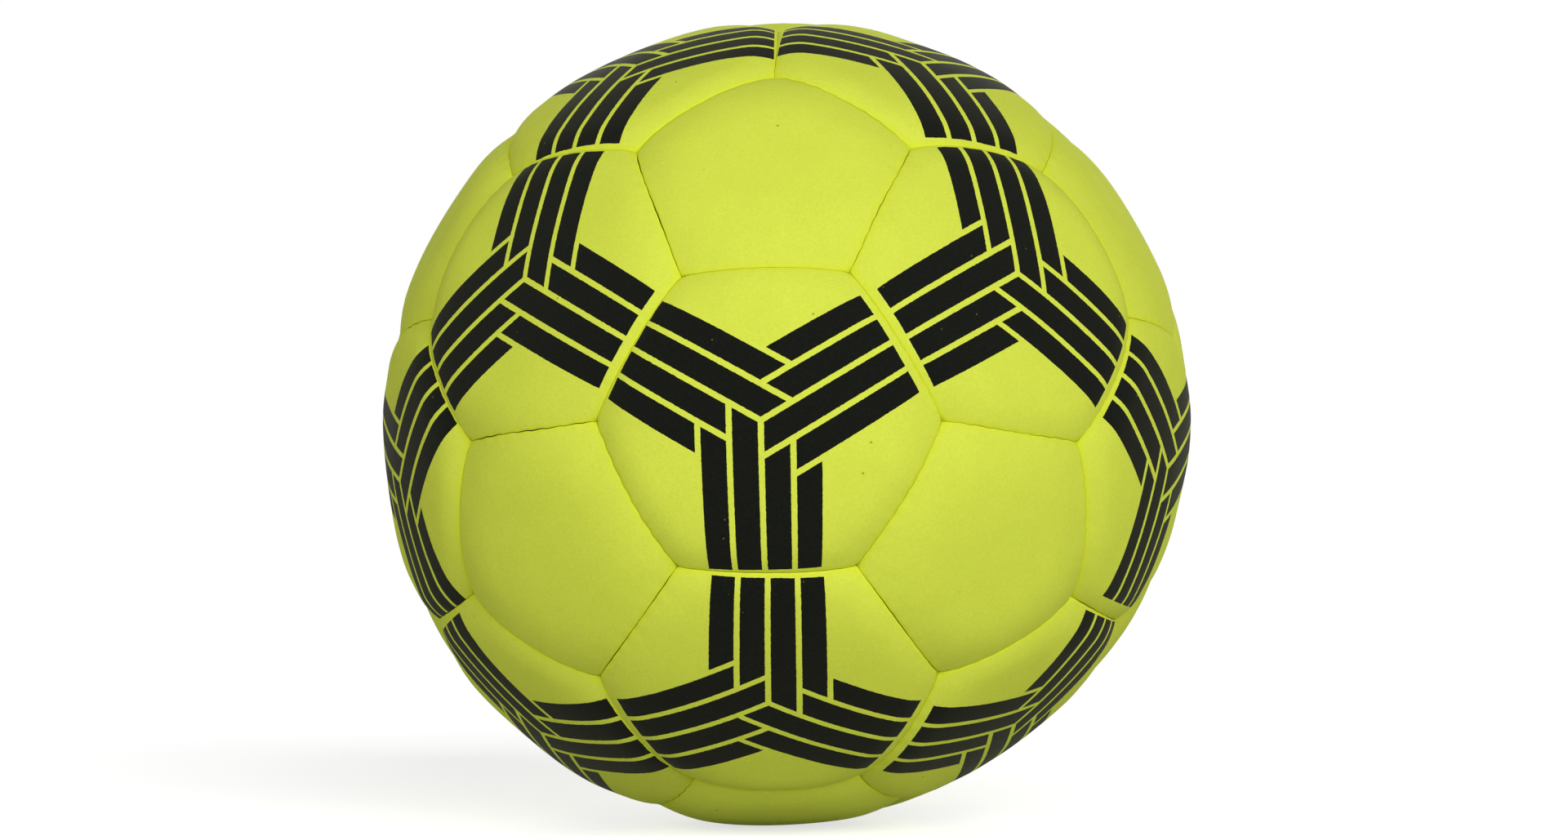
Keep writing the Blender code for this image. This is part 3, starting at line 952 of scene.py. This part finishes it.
def felt_pattern(tree, where, cover):
    """Colour of the bare felt, with painted light in its folds, and the tufts and patches behind it."""
    # Fibres are about 0.03 mm thick; drawn as tufts of 0.7 mm, the finest that shows at this distance.
    tufts = add_node(
        tree,
        "ShaderNodeTexNoise",
        {"Vector": where, "Scale": 1 / (0.7 * MM), "Detail": 4.0, "Roughness": 0.65, "Distortion": 1.2},
    )
    nap = add_node(tree, "ShaderNodeMapRange", {"Value": tufts, "From Min": 0.32, "From Max": 0.68})
    felt = add_node(
        tree,
        "ShaderNodeMix",
        {0: nap, COLOUR_A: tuple(cover.felt_shade), COLOUR_B: tuple(cover.felt_colour)},
        data_type="RGBA",
    )
    # Needle punching leaves denser and looser patches some 9 mm across.
    patches = add_node(tree, "ShaderNodeTexNoise", {"Vector": where, "Scale": 1 / (9 * MM), "Detail": 3.0})
    thin = add_node(
        tree,
        "ShaderNodeMapRange",
        {"Value": patches, "From Min": 0.35, "From Max": 0.65, "To Min": 0.08, "To Max": 0.0},
    )
    felt = add_node(
        tree, "ShaderNodeMix", {0: thin, COLOUR_A: felt, COLOUR_B: linear(THIN_FELT)}, data_type="RGBA"
    )
    # Stray brown fibres and lint, about 0.5 mm, in fewer than half of the cells of 10 mm.
    lint = add_node(tree, "ShaderNodeTexVoronoi", {"Vector": where, "Scale": 1 / (10 * MM)})
    speck = add_node(
        tree,
        "ShaderNodeMapRange",
        {"Value": lint, "From Min": 0.020, "From Max": 0.045, "To Min": 0.6, "To Max": 0.0},
    )
    cell = lint.node.outputs["Color"]
    chosen = add_node(tree, "ShaderNodeMath", {0: cell, 1: 0.45}, operation="LESS_THAN")
    speck = add_node(tree, "ShaderNodeMath", {0: speck, 1: chosen}, operation="MULTIPLY")
    felt = add_node(
        tree, "ShaderNodeMix", {0: speck, COLOUR_A: felt, COLOUR_B: linear(LINT)}, data_type="RGBA"
    )
    # Painted light: a deeper yellow, from 1.5 mm beside the seam to 1 mm down in it, stands in for the light
    # that goes from fibre to fibre in the fold.
    seam = add_node(tree, "ShaderNodeAttribute", output="Fac", attribute_name=SEAM_ATTRIBUTE)
    painted_fold_share = add_node(
        tree,
        "ShaderNodeMapRange",
        {"Value": seam, "From Min": -1 * MM, "From Max": 1.5 * MM, "To Min": 1.0, "To Max": 0.0},
    )
    felt = add_node(
        tree, "ShaderNodeMix", {0: painted_fold_share, COLOUR_A: felt, COLOUR_B: tuple(cover.painted_fold_light)}, data_type="RGBA"
    )
    return felt, tufts, patches


def lay_nap(tree, shader, face_colour, roughness, tufts, patches):
    """Gives the shader the felt's colour and roughness, with the nap's bump and sheen."""
    height = add_node(tree, "ShaderNodeMath", {0: patches, 1: 1.5, 2: tufts}, operation="MULTIPLY_ADD")
    bump = add_node(tree, "ShaderNodeBump", {"Strength": 0.20, "Distance": 0.3 * MM, "Height": height})
    nap = {
        "Base Color": face_colour,
        "Roughness": roughness,
        "Normal": bump,
        "Specular IOR Level": 0.1,
        "Sheen Weight": 0.04,
        "Sheen Roughness": 0.5,
        "Sheen Tint": linear(NAP_SHEEN),
    }
    set_inputs(tree, shader, nap)


@functools.lru_cache
def plain_felt(cover):
    """Needle-punched polyester felt, shorn: a dense matt nap with soft fuzz at its edges."""
    finish, tree, shader, where = new_finish("needle_felt_shorn")
    felt, tufts, patches = felt_pattern(tree, where, cover)
    lay_nap(tree, shader, felt, FELT_ROUGHNESS, tufts, patches)
    return finish


def arm_of_bars(tree, across, along, right, left, bars, reach):
    """Ink of one arm: bars on each side of its middle, each cut short where it meets its neighbour's."""
    pitch, width = bars.bar_pitch / MM, bars.bar_width / MM
    half_line = (pitch - width) / 2
    distance = add_node(tree, "ShaderNodeMath", {0: across}, operation="ABSOLUTE")
    bars_off = add_node(tree, "ShaderNodeMath", {0: distance, 1: pitch}, operation="DIVIDE")
    number = add_node(tree, "ShaderNodeMath", {0: bars_off}, operation="FLOOR")
    within = add_node(tree, "ShaderNodeMath", {0: bars_off}, operation="FRACT")
    in_bar = add_node(tree, "ShaderNodeMath", {0: within, 1: 0.5, 2: width / pitch / 2}, operation="COMPARE")
    in_arm = add_node(tree, "ShaderNodeMath", {0: distance, 1: ARM_BARS * pitch}, operation="LESS_THAN")
    in_panel = add_node(tree, "ShaderNodeMath", {0: along, 1: reach}, operation="LESS_THAN")
    left_room = add_node(tree, "ShaderNodeMath", {0: number, 1: -pitch, 2: left}, operation="MULTIPLY_ADD")
    past = add_node(tree, "ShaderNodeMath", {0: number, 1: -pitch, 2: -pitch}, operation="MULTIPLY_ADD")
    right_room = add_node(tree, "ShaderNodeMath", {0: past, 1: right}, operation="SUBTRACT")
    on_right = add_node(tree, "ShaderNodeMath", {0: across, 1: 0.0}, operation="GREATER_THAN")
    room = add_node(
        tree, "ShaderNodeMapRange", {"Value": on_right, "To Min": left_room, "To Max": right_room}
    )
    ink = add_node(tree, "ShaderNodeMath", {0: room, 1: half_line}, operation="GREATER_THAN")
    for part in (in_bar, in_arm, in_panel):
        ink = add_node(tree, "ShaderNodeMath", {0: ink, 1: part}, operation="MULTIPLY")
    return ink


def printed_bars(tree, where, cover, bars):
    """1 where a panel is inked: arms of bars to its foot, its upper right and its upper left."""
    flat = add_node(tree, "ShaderNodeUVMap", uv_map=PRINT_MAP)
    # The ink follows the fibres at an edge, within about 0.1 mm.
    fray = add_node(tree, "ShaderNodeTexNoise", {"Vector": where, "Scale": 1 / (0.7 * MM)}, output="Color")
    stray = add_node(tree, "ShaderNodeVectorMath", {0: fray, 1: (0.5, 0.5, 0.5)}, operation="SUBTRACT")
    flat = add_node(
        tree,
        "ShaderNodeVectorMath",
        {0: stray, 1: (INK_FRAY_MM, INK_FRAY_MM, 0.0), 2: flat},
        operation="MULTIPLY_ADD",
    )
    across, along = [], []
    for arm in range(PRINT_ARMS):
        turn = math.tau / PRINT_ARMS * arm
        aside = (math.cos(turn), math.sin(turn), 0.0)
        ahead = (math.sin(turn), -math.cos(turn), 0.0)
        for found, way in ((across, aside), (along, ahead)):
            found.append(add_node(tree, "ShaderNodeVectorMath", {0: flat, 1: way}, operation="DOT_PRODUCT"))
    lean = np.mean([place.lean for place in panels_by_node().values() if place.sides == HEXAGON])
    reach = (cover.diameter / 2 * math.tan(lean) - bars.end_margin) / MM
    ink = 0.0
    for arm in range(PRINT_ARMS):
        right, left = across[(arm + 1) % PRINT_ARMS], across[arm - 1]
        part = arm_of_bars(tree, across[arm], along[arm], right, left, bars, reach)
        ink = add_node(tree, "ShaderNodeMath", {0: ink, 1: part}, operation="MAXIMUM")
    return ink


def printed_felt(cover, bars):
    """The same felt with black pigment ink pressed into it: flatter and duller, its edges slightly frayed."""
    finish, tree, shader, where = new_finish("needle_felt_screen_printed")
    felt, tufts, patches = felt_pattern(tree, where, cover)
    ink = printed_bars(tree, where, cover, bars)
    # Pin holes in the ink, about 0.4 mm, one in every 7 mm or so.
    holes = add_node(tree, "ShaderNodeTexVoronoi", {"Vector": where, "Scale": 1 / (7 * MM)})
    dense = add_node(
        tree,
        "ShaderNodeMapRange",
        {"Value": holes, "From Min": 0.015, "From Max": 0.04, "To Min": 0.82, "To Max": 1.0},
    )
    inked = add_node(tree, "ShaderNodeMath", {0: ink, 1: dense}, operation="MULTIPLY")
    worn = add_node(tree, "ShaderNodeMapRange", {"Value": tufts, "From Min": 0.42, "From Max": 0.72})
    black = add_node(
        tree,
        "ShaderNodeMix",
        {0: worn, COLOUR_A: tuple(bars.ink_colour), COLOUR_B: tuple(bars.ink_worn)},
        data_type="RGBA",
    )
    printed = add_node(
        tree, "ShaderNodeMix", {0: inked, COLOUR_A: felt, COLOUR_B: black}, data_type="RGBA"
    )
    roughness = add_node(
        tree, "ShaderNodeMapRange", {"Value": ink, "To Min": FELT_ROUGHNESS, "To Max": INK_ROUGHNESS}
    )
    lay_nap(tree, shader, printed, roughness, tufts, patches)
    return finish


@functools.lru_cache
def backing_cloth(cover):
    """Plain-woven polyester backing: pale, with a fine even grid of threads."""
    finish, tree, shader, where = new_finish("woven_polyester_backing")
    # Threads are 0.4 mm apart; drawn 1.2 mm apart so that the weave shows.
    weave = 0.0
    for direction in ("X", "Z"):
        threads = add_node(
            tree,
            "ShaderNodeTexWave",
            {"Vector": where, "Scale": BLANK_WAVE / (1.2 * MM), "Distortion": 0.6, "Detail": 1.0},
            output="Fac",
            bands_direction=direction,
        )
        weave = add_node(tree, "ShaderNodeMath", {0: weave, 1: threads}, operation="MAXIMUM")
    cloth = add_node(
        tree,
        "ShaderNodeMix",
        {0: weave, COLOUR_A: linear(WEAVE_SHADE), COLOUR_B: tuple(cover.backing_colour)},
        data_type="RGBA",
    )
    bump = add_node(tree, "ShaderNodeBump", {"Strength": 0.4, "Distance": 0.2 * MM, "Height": weave})
    set_inputs(tree, shader, {"Base Color": cloth, "Roughness": 0.9, "Normal": bump})
    return finish


def waxed_thread(fittings):
    """Twisted polyester thread, waxed: a dull sheen over the plies' slant."""
    finish, tree, shader, where = new_finish("polyester_thread_twisted_waxed")
    # Plies cross the thread every 0.5 mm.
    plies = add_node(
        tree,
        "ShaderNodeTexWave",
        {"Vector": where, "Scale": BLANK_WAVE / (0.5 * MM), "Distortion": 1.0, "Detail": 1.0},
        output="Fac",
        bands_direction="DIAGONAL",
    )
    dyed = add_node(
        tree,
        "ShaderNodeMix",
        {0: plies, COLOUR_A: linear(PLY_SHADE), COLOUR_B: tuple(fittings.thread_colour)},
        data_type="RGBA",
    )
    bump = add_node(tree, "ShaderNodeBump", {"Strength": 0.5, "Distance": 0.1 * MM, "Height": plies})
    set_inputs(tree, shader, {"Base Color": dyed, "Roughness": 0.55, "Normal": bump})
    return finish


def natural_latex(fittings):
    """Natural latex, dipped and dusted with talc: a warm tan with cloudy pale patches and a soft gloss."""
    finish, tree, shader, where = new_finish("natural_latex_dipped_dusted")
    # Talc gathers in clouds some 15 mm across, the dip's own ripple is about 4 mm.
    clouds = add_node(tree, "ShaderNodeTexNoise", {"Vector": where, "Scale": 1 / (15 * MM), "Detail": 4.0})
    ripple = add_node(tree, "ShaderNodeTexNoise", {"Vector": where, "Scale": 1 / (4 * MM), "Detail": 2.0})
    talc = add_node(
        tree, "ShaderNodeMapRange", {"Value": clouds, "From Min": 0.45, "From Max": 0.8, "To Max": TALC_MOST}
    )
    tan = add_node(
        tree,
        "ShaderNodeMix",
        {0: talc, COLOUR_A: tuple(fittings.latex_colour), COLOUR_B: linear(TALC)},
        data_type="RGBA",
    )
    roughness = add_node(
        tree, "ShaderNodeMapRange", {"Value": talc, "From Max": TALC_MOST, "To Min": 0.38, "To Max": 0.8}
    )
    bump = add_node(tree, "ShaderNodeBump", {"Strength": 0.2, "Distance": 0.3 * MM, "Height": ripple})
    set_inputs(tree, shader, {"Base Color": tan, "Roughness": roughness, "Normal": bump, "IOR": RUBBER_IOR})
    return finish


def moulded_rubber(fittings):
    """Butyl rubber, moulded in a blasted tool: near black, satin, with a fine grain and grey bloom."""
    finish, tree, shader, where = new_finish("butyl_rubber_moulded")
    # Blasting grit of 0.15 mm, drawn at 0.3 mm so that it shows; the bloom's clouds are about 3 mm.
    grain = add_node(tree, "ShaderNodeTexNoise", {"Vector": where, "Scale": 1 / (0.3 * MM), "Detail": 2.0})
    bloom = add_node(tree, "ShaderNodeTexNoise", {"Vector": where, "Scale": 1 / (3 * MM), "Detail": 3.0})
    grey = add_node(
        tree, "ShaderNodeMapRange", {"Value": bloom, "From Min": 0.45, "From Max": 0.75, "To Max": 0.5}
    )
    black = add_node(
        tree,
        "ShaderNodeMix",
        {0: grey, COLOUR_A: tuple(fittings.rubber_colour), COLOUR_B: linear(RUBBER_BLOOM)},
        data_type="RGBA",
    )
    roughness = add_node(
        tree,
        "ShaderNodeMapRange",
        {"Value": grain, "From Min": 0.3, "From Max": 0.7, "To Min": 0.45, "To Max": 0.62},
    )
    bump = add_node(tree, "ShaderNodeBump", {"Strength": 0.25, "Distance": 0.1 * MM, "Height": grain})
    set_inputs(tree, shader, {"Base Color": black, "Roughness": roughness, "Normal": bump, "IOR": RUBBER_IOR})
    return finish


# Thread, bladder and valve


def add_fitting(name, points, faces, finish, node):
    """A smooth-shaded piece of these points and faces, in place of this node."""
    mesh = bpy.data.meshes.new(name)
    mesh.from_pydata(points.tolist(), [], faces)
    mesh.shade_smooth()
    mesh.set_sharp_from_angle(angle=SHARP_FITTING)
    mesh.update()
    put_in_place(name, mesh, (finish,), node)


def seam_threads(cover, fittings):
    """Points and faces of a thread along every seam, crossing from one turned-in edge to the other."""
    radius = cover.diameter / 2
    height = radius - cover.roll_depth - cover.swell_depth - fittings.stitch_depth
    thick = fittings.thread_diameter / 2
    round_thread = np.arange(THREAD_SIDES) * math.tau / THREAD_SIDES
    points, faces = [], []
    count = 0
    for seam, (a, b) in enumerate(seam_layout()[1]):
        middle, way = unit(a + b), unit(b - a)
        aside = np.cross(middle, way)
        reach = half_side(seam, cover)
        along = np.linspace(-reach, reach, THREAD_POINTS)
        swing = np.sin(math.pi * along / cover.stitch_pitch) * THREAD_SWING + seam_stray(seam, along, cover)
        turn = (along / radius)[:, None]
        ways = middle * np.cos(turn) + way * np.sin(turn)
        line = ways * height + aside * swing[:, None]
        ahead = unit(np.gradient(line, axis=0))
        out = unit(ways - ahead * (ways * ahead).sum(axis=1, keepdims=True))
        across = np.cross(ahead, out)
        rounds = (
            line[:, None]
            + thick * np.cos(round_thread)[None, :, None] * across[:, None]
            + thick * np.sin(round_thread)[None, :, None] * out[:, None]
        )
        numbers = count + np.arange(THREAD_POINTS * THREAD_SIDES).reshape(THREAD_POINTS, THREAD_SIDES)
        points.append(rounds.reshape(-1, 3))
        count += numbers.size
        following = np.roll(numbers, -1, axis=1)
        quads = np.stack((numbers[:-1], numbers[1:], following[1:], following[:-1]), axis=-1)
        faces.extend(quads.reshape(-1, 4).tolist())
        faces.append(numbers[0].tolist())
        faces.append(numbers[-1][::-1].tolist())
    return out_of_round(np.concatenate(points)), faces


def eased(profile):
    """A (radius, height) profile with its corners rounded, apart from those on the axis."""
    points = [Vector(p) for p in profile]
    eased_points = []
    for k, point in enumerate(points):
        if point.x == 0:
            eased_points.append(point)
            continue
        back, on = points[k - 1] - point, points[(k + 1) % len(points)] - point
        start = point + back.normalized() * min(VALVE_EASING, back.length * EASING_SHARE)
        end = point + on.normalized() * min(VALVE_EASING, on.length * EASING_SHARE)
        for step in range(EASING_STEPS + 1):
            share = step / EASING_STEPS
            eased_points.append(start * (1 - share) ** 2 + point * 2 * share * (1 - share) + end * share**2)
    return [(p.x, p.y) for p in eased_points]


def turned(profile, steps, place):
    """Points and faces of a profile carried round a panel's axis, closed on itself."""
    points, faces, rings = [], [], []
    for across, height in profile:
        count = 1 if across == 0 else steps
        turn = np.arange(count) * math.tau / steps
        sideways = np.cos(turn)[:, None] * place.right + np.sin(turn)[:, None] * place.up
        rings.append(len(points) + np.arange(count))
        points.extend(place.outward * height + sideways * across)
    ends_on_axis = len(rings[0]) == 1 and len(rings[-1]) == 1
    pairs = list(zip(rings, rings[1:])) + ([] if ends_on_axis else [(rings[-1], rings[0])])
    for upper, lower in pairs:
        for k in range(steps):
            corners = [upper[(k + 1) % len(upper)], upper[k % len(upper)]]
            corners += [lower[k % len(lower)], lower[(k + 1) % len(lower)]]
            face = list(dict.fromkeys(int(c) for c in corners))
            if len(face) > 2:
                faces.append(face)
    return np.array(points), faces


def arc(radius, start, steps):
    """A (radius, height) run over a sphere from this angle off the top to its foot."""
    turns = np.linspace(start, math.pi, steps + 1)[:-1]
    return [(radius * math.sin(t), radius * math.cos(t)) for t in turns] + [(0.0, -radius)]


class ValveSizes:
    """The valve's radii and heights, from the needle hole outwards."""

    def __init__(self, cover, fittings):
        low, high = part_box("bladder")
        self.bladder_radius = (high - low).z / 2
        self.hole = fittings.needle_hole / 2
        self.stem = self.hole + STEM_WALL
        self.head = self.stem + HEAD_LIP
        self.bulb = self.stem + BULB_LIP
        self.bore = self.stem + VALVE_CLEARANCE
        self.counterbore = self.head + VALVE_CLEARANCE
        self.neck = self.counterbore + NECK_WALL
        self.panel_hole = self.neck + VALVE_CLEARANCE
        self.tube = self.bore + TUBE_WALL
        self.bladder_hole = self.tube + VALVE_CLEARANCE
        self.flange = self.tube + FLANGE_LIP
        self.top = cover.diameter / 2 - VALVE_RECESS
        self.under_head = self.top - HEAD_THICKNESS
        self.shelf = self.under_head - VALVE_CLEARANCE
        self.needle_end = self.top - NEEDLE_DEPTH
        self.under_neck = self.on_bladder(self.tube)
        self.under_rim = self.on_bladder(self.flange)
        self.tube_bottom = self.bladder_radius - TUBE_LENGTH
        self.bulb_top = self.tube_bottom - VALVE_CLEARANCE
        self.bulb_bottom = self.bulb_top - BULB_LENGTH

    def on_bladder(self, radius):
        """Height of the flange's underside this far from the valve's axis."""
        return math.sqrt(self.bladder_radius**2 - radius**2) + VALVE_CLEARANCE

    def seat(self):
        """Profile of the valve's seat."""
        return [
            (self.counterbore, self.top),
            (self.neck, self.top),
            (self.neck, self.under_neck + FLANGE_THICKNESS),
            (self.flange, self.under_rim + FLANGE_THICKNESS),
            (self.flange, self.under_rim),
            (self.tube, self.under_neck),
            (self.tube, self.tube_bottom),
            (self.bore, self.tube_bottom),
            (self.bore, self.shelf),
            (self.counterbore, self.shelf),
        ]

    def insert(self):
        """Profile of the valve's insert."""
        return [
            (0.0, self.needle_end),
            (self.hole, self.needle_end),
            (self.hole, self.top),
            (self.head, self.top),
            (self.head, self.under_head),
            (self.stem, self.under_head),
            (self.stem, self.bulb_top),
            (self.bulb, self.bulb_top),
            (self.stem, self.bulb_bottom),
            (0.0, self.bulb_bottom),
        ]


# Floor, light and camera


def seen_directly(tree):
    """1 for what the camera sees, also through or in something, and 0 for light that falls on the object."""
    path = tree.nodes.new("ShaderNodeLightPath")
    seen = path.outputs["Is Camera Ray"]
    for other in ("Is Glossy Ray", "Is Transmission Ray"):
        seen = add_node(tree, "ShaderNodeMath", {0: seen, 1: path.outputs[other]}, operation="MAXIMUM")
    return seen


def lay_floor(stage, height):
    """A wide pale floor under the ball that looks white but keeps the ball's shadow."""
    mesh = bpy.data.meshes.new("floor")
    sides = ((-1, -1), (1, -1), (1, 1), (-1, 1))
    mesh.from_pydata([(x * FLOOR_REACH, y * FLOOR_REACH, height) for x, y in sides], [], [(0, 1, 2, 3)])
    finish = bpy.data.materials.new("floor_painted_matt")
    finish.use_nodes = True
    tree = finish.node_tree
    tree.nodes.remove(tree.nodes["Principled BSDF"])
    paint = add_node(tree, "ShaderNodeBsdfDiffuse", {"Color": tuple(stage.floor_colour)})
    glow = add_node(tree, "ShaderNodeEmission", {"Color": linear(WHITE), "Strength": FLOOR_GLOW})
    shade = add_node(tree, "ShaderNodeBsdfDiffuse", {"Color": linear(SHADED_FLOOR)})
    white = add_node(tree, "ShaderNodeAddShader", {0: glow, 1: shade})
    shown = add_node(tree, "ShaderNodeMixShader", {0: seen_directly(tree), 1: paint, 2: white})
    set_inputs(tree, tree.nodes["Material Output"], {"Surface": shown})
    mesh.materials.append(finish)
    floor = bpy.data.objects.new("floor", mesh)
    bpy.context.scene.collection.objects.link(floor)
    floor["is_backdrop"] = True


def light_room(scene, stage):
    """Even light from all round, in front of a white background."""
    world = bpy.data.worlds.new("studio")
    world.use_nodes = True
    tree = world.node_tree
    tree.nodes.remove(tree.nodes["Background"])
    room = add_node(tree, "ShaderNodeBackground", {"Color": linear(WHITE), "Strength": stage.room_light})
    white = add_node(tree, "ShaderNodeBackground", {"Color": linear(WHITE), "Strength": 1.0})
    shown = add_node(tree, "ShaderNodeMixShader", {0: seen_directly(tree), 1: room, 2: white})
    set_inputs(tree, tree.nodes["World Output"], {"Surface": shown})
    scene.world = world


def soft_light(name, place, strength):
    """A broad light. At strength 1 it alone shows a surface that faces it as its own colour."""
    azimuth, elevation = (math.radians(degrees) for degrees in place)
    lamp = bpy.data.lights.new(name, "SUN")
    lamp.energy = strength * math.pi
    lamp.angle = LIGHT_SPREAD
    light = bpy.data.objects.new(name, lamp)
    light.rotation_euler = (math.pi / 2 - elevation, 0, azimuth)
    bpy.context.scene.collection.objects.link(light)


def set_camera(scene, stage):
    """The photograph's viewpoint, aimed so that the ball takes its place in the image."""
    lens = bpy.data.cameras.new("camera")
    lens.sensor_width = SENSOR_WIDTH
    lens.lens = stage.focal_length
    camera = bpy.data.objects.new("camera", lens)
    scene.collection.objects.link(camera)
    azimuth, elevation = stage.camera_azimuth, stage.camera_elevation
    forward = math.cos(elevation)
    back = Vector((math.sin(azimuth) * forward, -math.cos(azimuth) * forward, math.sin(elevation)))
    right = Vector((math.cos(azimuth), math.sin(azimuth), 0))
    up = back.cross(right)
    metres_per_pixel = stage.camera_distance / (stage.focal_length / SENSOR_WIDTH * IMAGE_WIDTH)
    camera.location = back * stage.camera_distance
    aim = (up * BALL_PLACE[1] - right * BALL_PLACE[0]) * metres_per_pixel
    camera.rotation_euler = (camera.location - aim).to_track_quat("Z", "Y").to_euler()
    scene.camera = camera


# Operators


class BALL_OT_printed_hexagons(bpy.types.Operator):
    """Sew in the twenty hexagons, each printed with three arms of four bars"""

    bl_idname = "ball.printed_hexagons"
    bl_label = "Printed hexagons"

    def execute(self, context):
        cover, bars = context.scene.ball_cover, context.scene.ball_print
        finish = printed_felt(cover, bars)
        chance = np.random.default_rng(PRINT_SEED)
        for node in sorted(name for name in panels_by_node() if name.startswith("hexagon")):
            stray = chance.uniform(-1, 1, 3) * (PRINT_STRAY_MM, PRINT_STRAY_MM, PRINT_TURN)
            sew_panel(node, finish, cover, PRINT_PLACES.get(node, stray))
        return {"FINISHED"}


class BALL_OT_plain_pentagons(bpy.types.Operator):
    """Sew in the eleven bare pentagons"""

    bl_idname = "ball.plain_pentagons"
    bl_label = "Plain pentagons"

    def execute(self, context):
        cover = context.scene.ball_cover
        for node in sorted(name for name in panels_by_node() if name.startswith("pentagon")):
            sew_panel(node, plain_felt(cover), cover)
        return {"FINISHED"}


class BALL_OT_valve_pentagon(bpy.types.Operator):
    """Sew in the pentagon with the valve's punched hole"""

    bl_idname = "ball.valve_pentagon"
    bl_label = "Valve pentagon"

    def execute(self, context):
        cover, fittings = context.scene.ball_cover, context.scene.ball_fittings
        shell = PanelShell(panels_by_node()["valve_panel"], cover)
        fold, edge = felt_rings(shell)
        wall_top = turned_in_edge(shell, fold, CROWN_STEPS)
        punched_crown(shell, edge, wall_top, ValveSizes(cover, fittings).panel_hole)
        put_panel_in_place("felt_valve_pentagon", shell, plain_felt(cover), "valve_panel")
        return {"FINISHED"}


class BALL_OT_seam_thread(bpy.types.Operator):
    """Lay the waxed thread along every seam"""

    bl_idname = "ball.seam_thread"
    bl_label = "Seam thread"

    def execute(self, context):
        cover, fittings = context.scene.ball_cover, context.scene.ball_fittings
        points, faces = seam_threads(cover, fittings)
        add_fitting("waxed_seam_thread", points, faces, waxed_thread(fittings), "seam_thread")
        return {"FINISHED"}


class BALL_OT_bladder(bpy.types.Operator):
    """Put in the latex bladder"""

    bl_idname = "ball.bladder"
    bl_label = "Bladder"

    def execute(self, context):
        cover, fittings = context.scene.ball_cover, context.scene.ball_fittings
        sizes = ValveSizes(cover, fittings)
        outer = sizes.bladder_radius
        inner = outer - fittings.bladder_wall
        inside = arc(inner, math.asin(sizes.bladder_hole / inner), BLADDER_STEPS // 2)
        outside = arc(outer, math.asin(sizes.bladder_hole / outer), BLADDER_STEPS // 2)
        points, faces = turned(inside[::-1] + outside, BLADDER_STEPS, panels_by_node()["valve_panel"])
        latex = natural_latex(fittings)
        add_fitting("latex_bladder", out_of_round(points), faces, latex, "bladder")
        return {"FINISHED"}


class BALL_OT_valve(bpy.types.Operator):
    """Put in the valve's seat and its insert"""

    bl_idname = "ball.valve"
    bl_label = "Valve"

    def execute(self, context):
        cover, fittings = context.scene.ball_cover, context.scene.ball_fittings
        place = panels_by_node()["valve_panel"]
        sizes = ValveSizes(cover, fittings)
        rubber = moulded_rubber(fittings)
        for node, profile in (("valve_seat", sizes.seat()), ("valve_insert", sizes.insert())):
            points, faces = turned(eased(profile), TURNED_STEPS, place)
            add_fitting("rubber_" + node, points, faces, rubber, node)
        return {"FINISHED"}


class BALL_OT_stage(bpy.types.Operator):
    """Set up the floor, the light and the camera"""

    bl_idname = "ball.stage"
    bl_label = "Stage"

    def execute(self, context):
        scene, stage = context.scene, context.scene.ball_stage
        scene.view_settings.view_transform = "Standard"
        lay_floor(stage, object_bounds()[0].z)
        light_room(scene, stage)
        soft_light("key_light", KEY_PLACE, stage.key_light)
        soft_light("fill_light", FILL_PLACE, stage.fill_light)
        soft_light("back_light", BACK_PLACE, stage.back_light)
        set_camera(scene, stage)
        return {"FINISHED"}


OPERATORS = (
    BALL_OT_printed_hexagons,
    BALL_OT_plain_pentagons,
    BALL_OT_valve_pentagon,
    BALL_OT_seam_thread,
    BALL_OT_bladder,
    BALL_OT_valve,
    BALL_OT_stage,
)
SETTINGS = (
    ("ball_cover", CoverSettings),
    ("ball_print", PrintSettings),
    ("ball_fittings", FittingSettings),
    ("ball_stage", StageSettings),
)


class BALL_PT_sidebar(bpy.types.Panel):
    """Lists the ball's settings and the steps that build it"""

    bl_label = "Indoor soccer ball"
    bl_idname = "BALL_PT_sidebar"
    bl_space_type = "VIEW_3D"
    bl_region_type = "UI"
    bl_category = "Ball"

    def draw(self, context):
        for name, group in SETTINGS:
            box = self.layout.box()
            box.label(text=group.__doc__.rstrip("."))
            for setting in group.__annotations__:
                box.prop(getattr(context.scene, name), setting)
        for operator in OPERATORS:
            self.layout.operator(operator.bl_idname)


def register():
    """Adds the settings, the operators and the sidebar's panel."""
    for name, group in SETTINGS:
        bpy.utils.register_class(group)
        setattr(bpy.types.Scene, name, PointerProperty(type=group))
    for operator in OPERATORS:
        bpy.utils.register_class(operator)
    bpy.utils.register_class(BALL_PT_sidebar)


def unregister():
    """Takes them out again."""
    bpy.utils.unregister_class(BALL_PT_sidebar)
    for operator in reversed(OPERATORS):
        bpy.utils.unregister_class(operator)
    for name, group in reversed(SETTINGS):
        delattr(bpy.types.Scene, name)
        bpy.utils.unregister_class(group)


def main():
    """Builds the ball and its stage, and gathers the frame's and the finished ball's boxes."""
    register()
    bpy.ops.ball.printed_hexagons()
    bpy.ops.ball.plain_pentagons()
    bpy.ops.ball.valve_pentagon()
    bpy.ops.ball.seam_thread()
    bpy.ops.ball.bladder()
    bpy.ops.ball.valve()
    bpy.ops.ball.stage()
    boxes = {"cad": CAD_BOX, "visual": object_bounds()}
    {name: [list(corner) for corner in box] for name, box in boxes.items()}


if __name__ == "__main__":
    main()
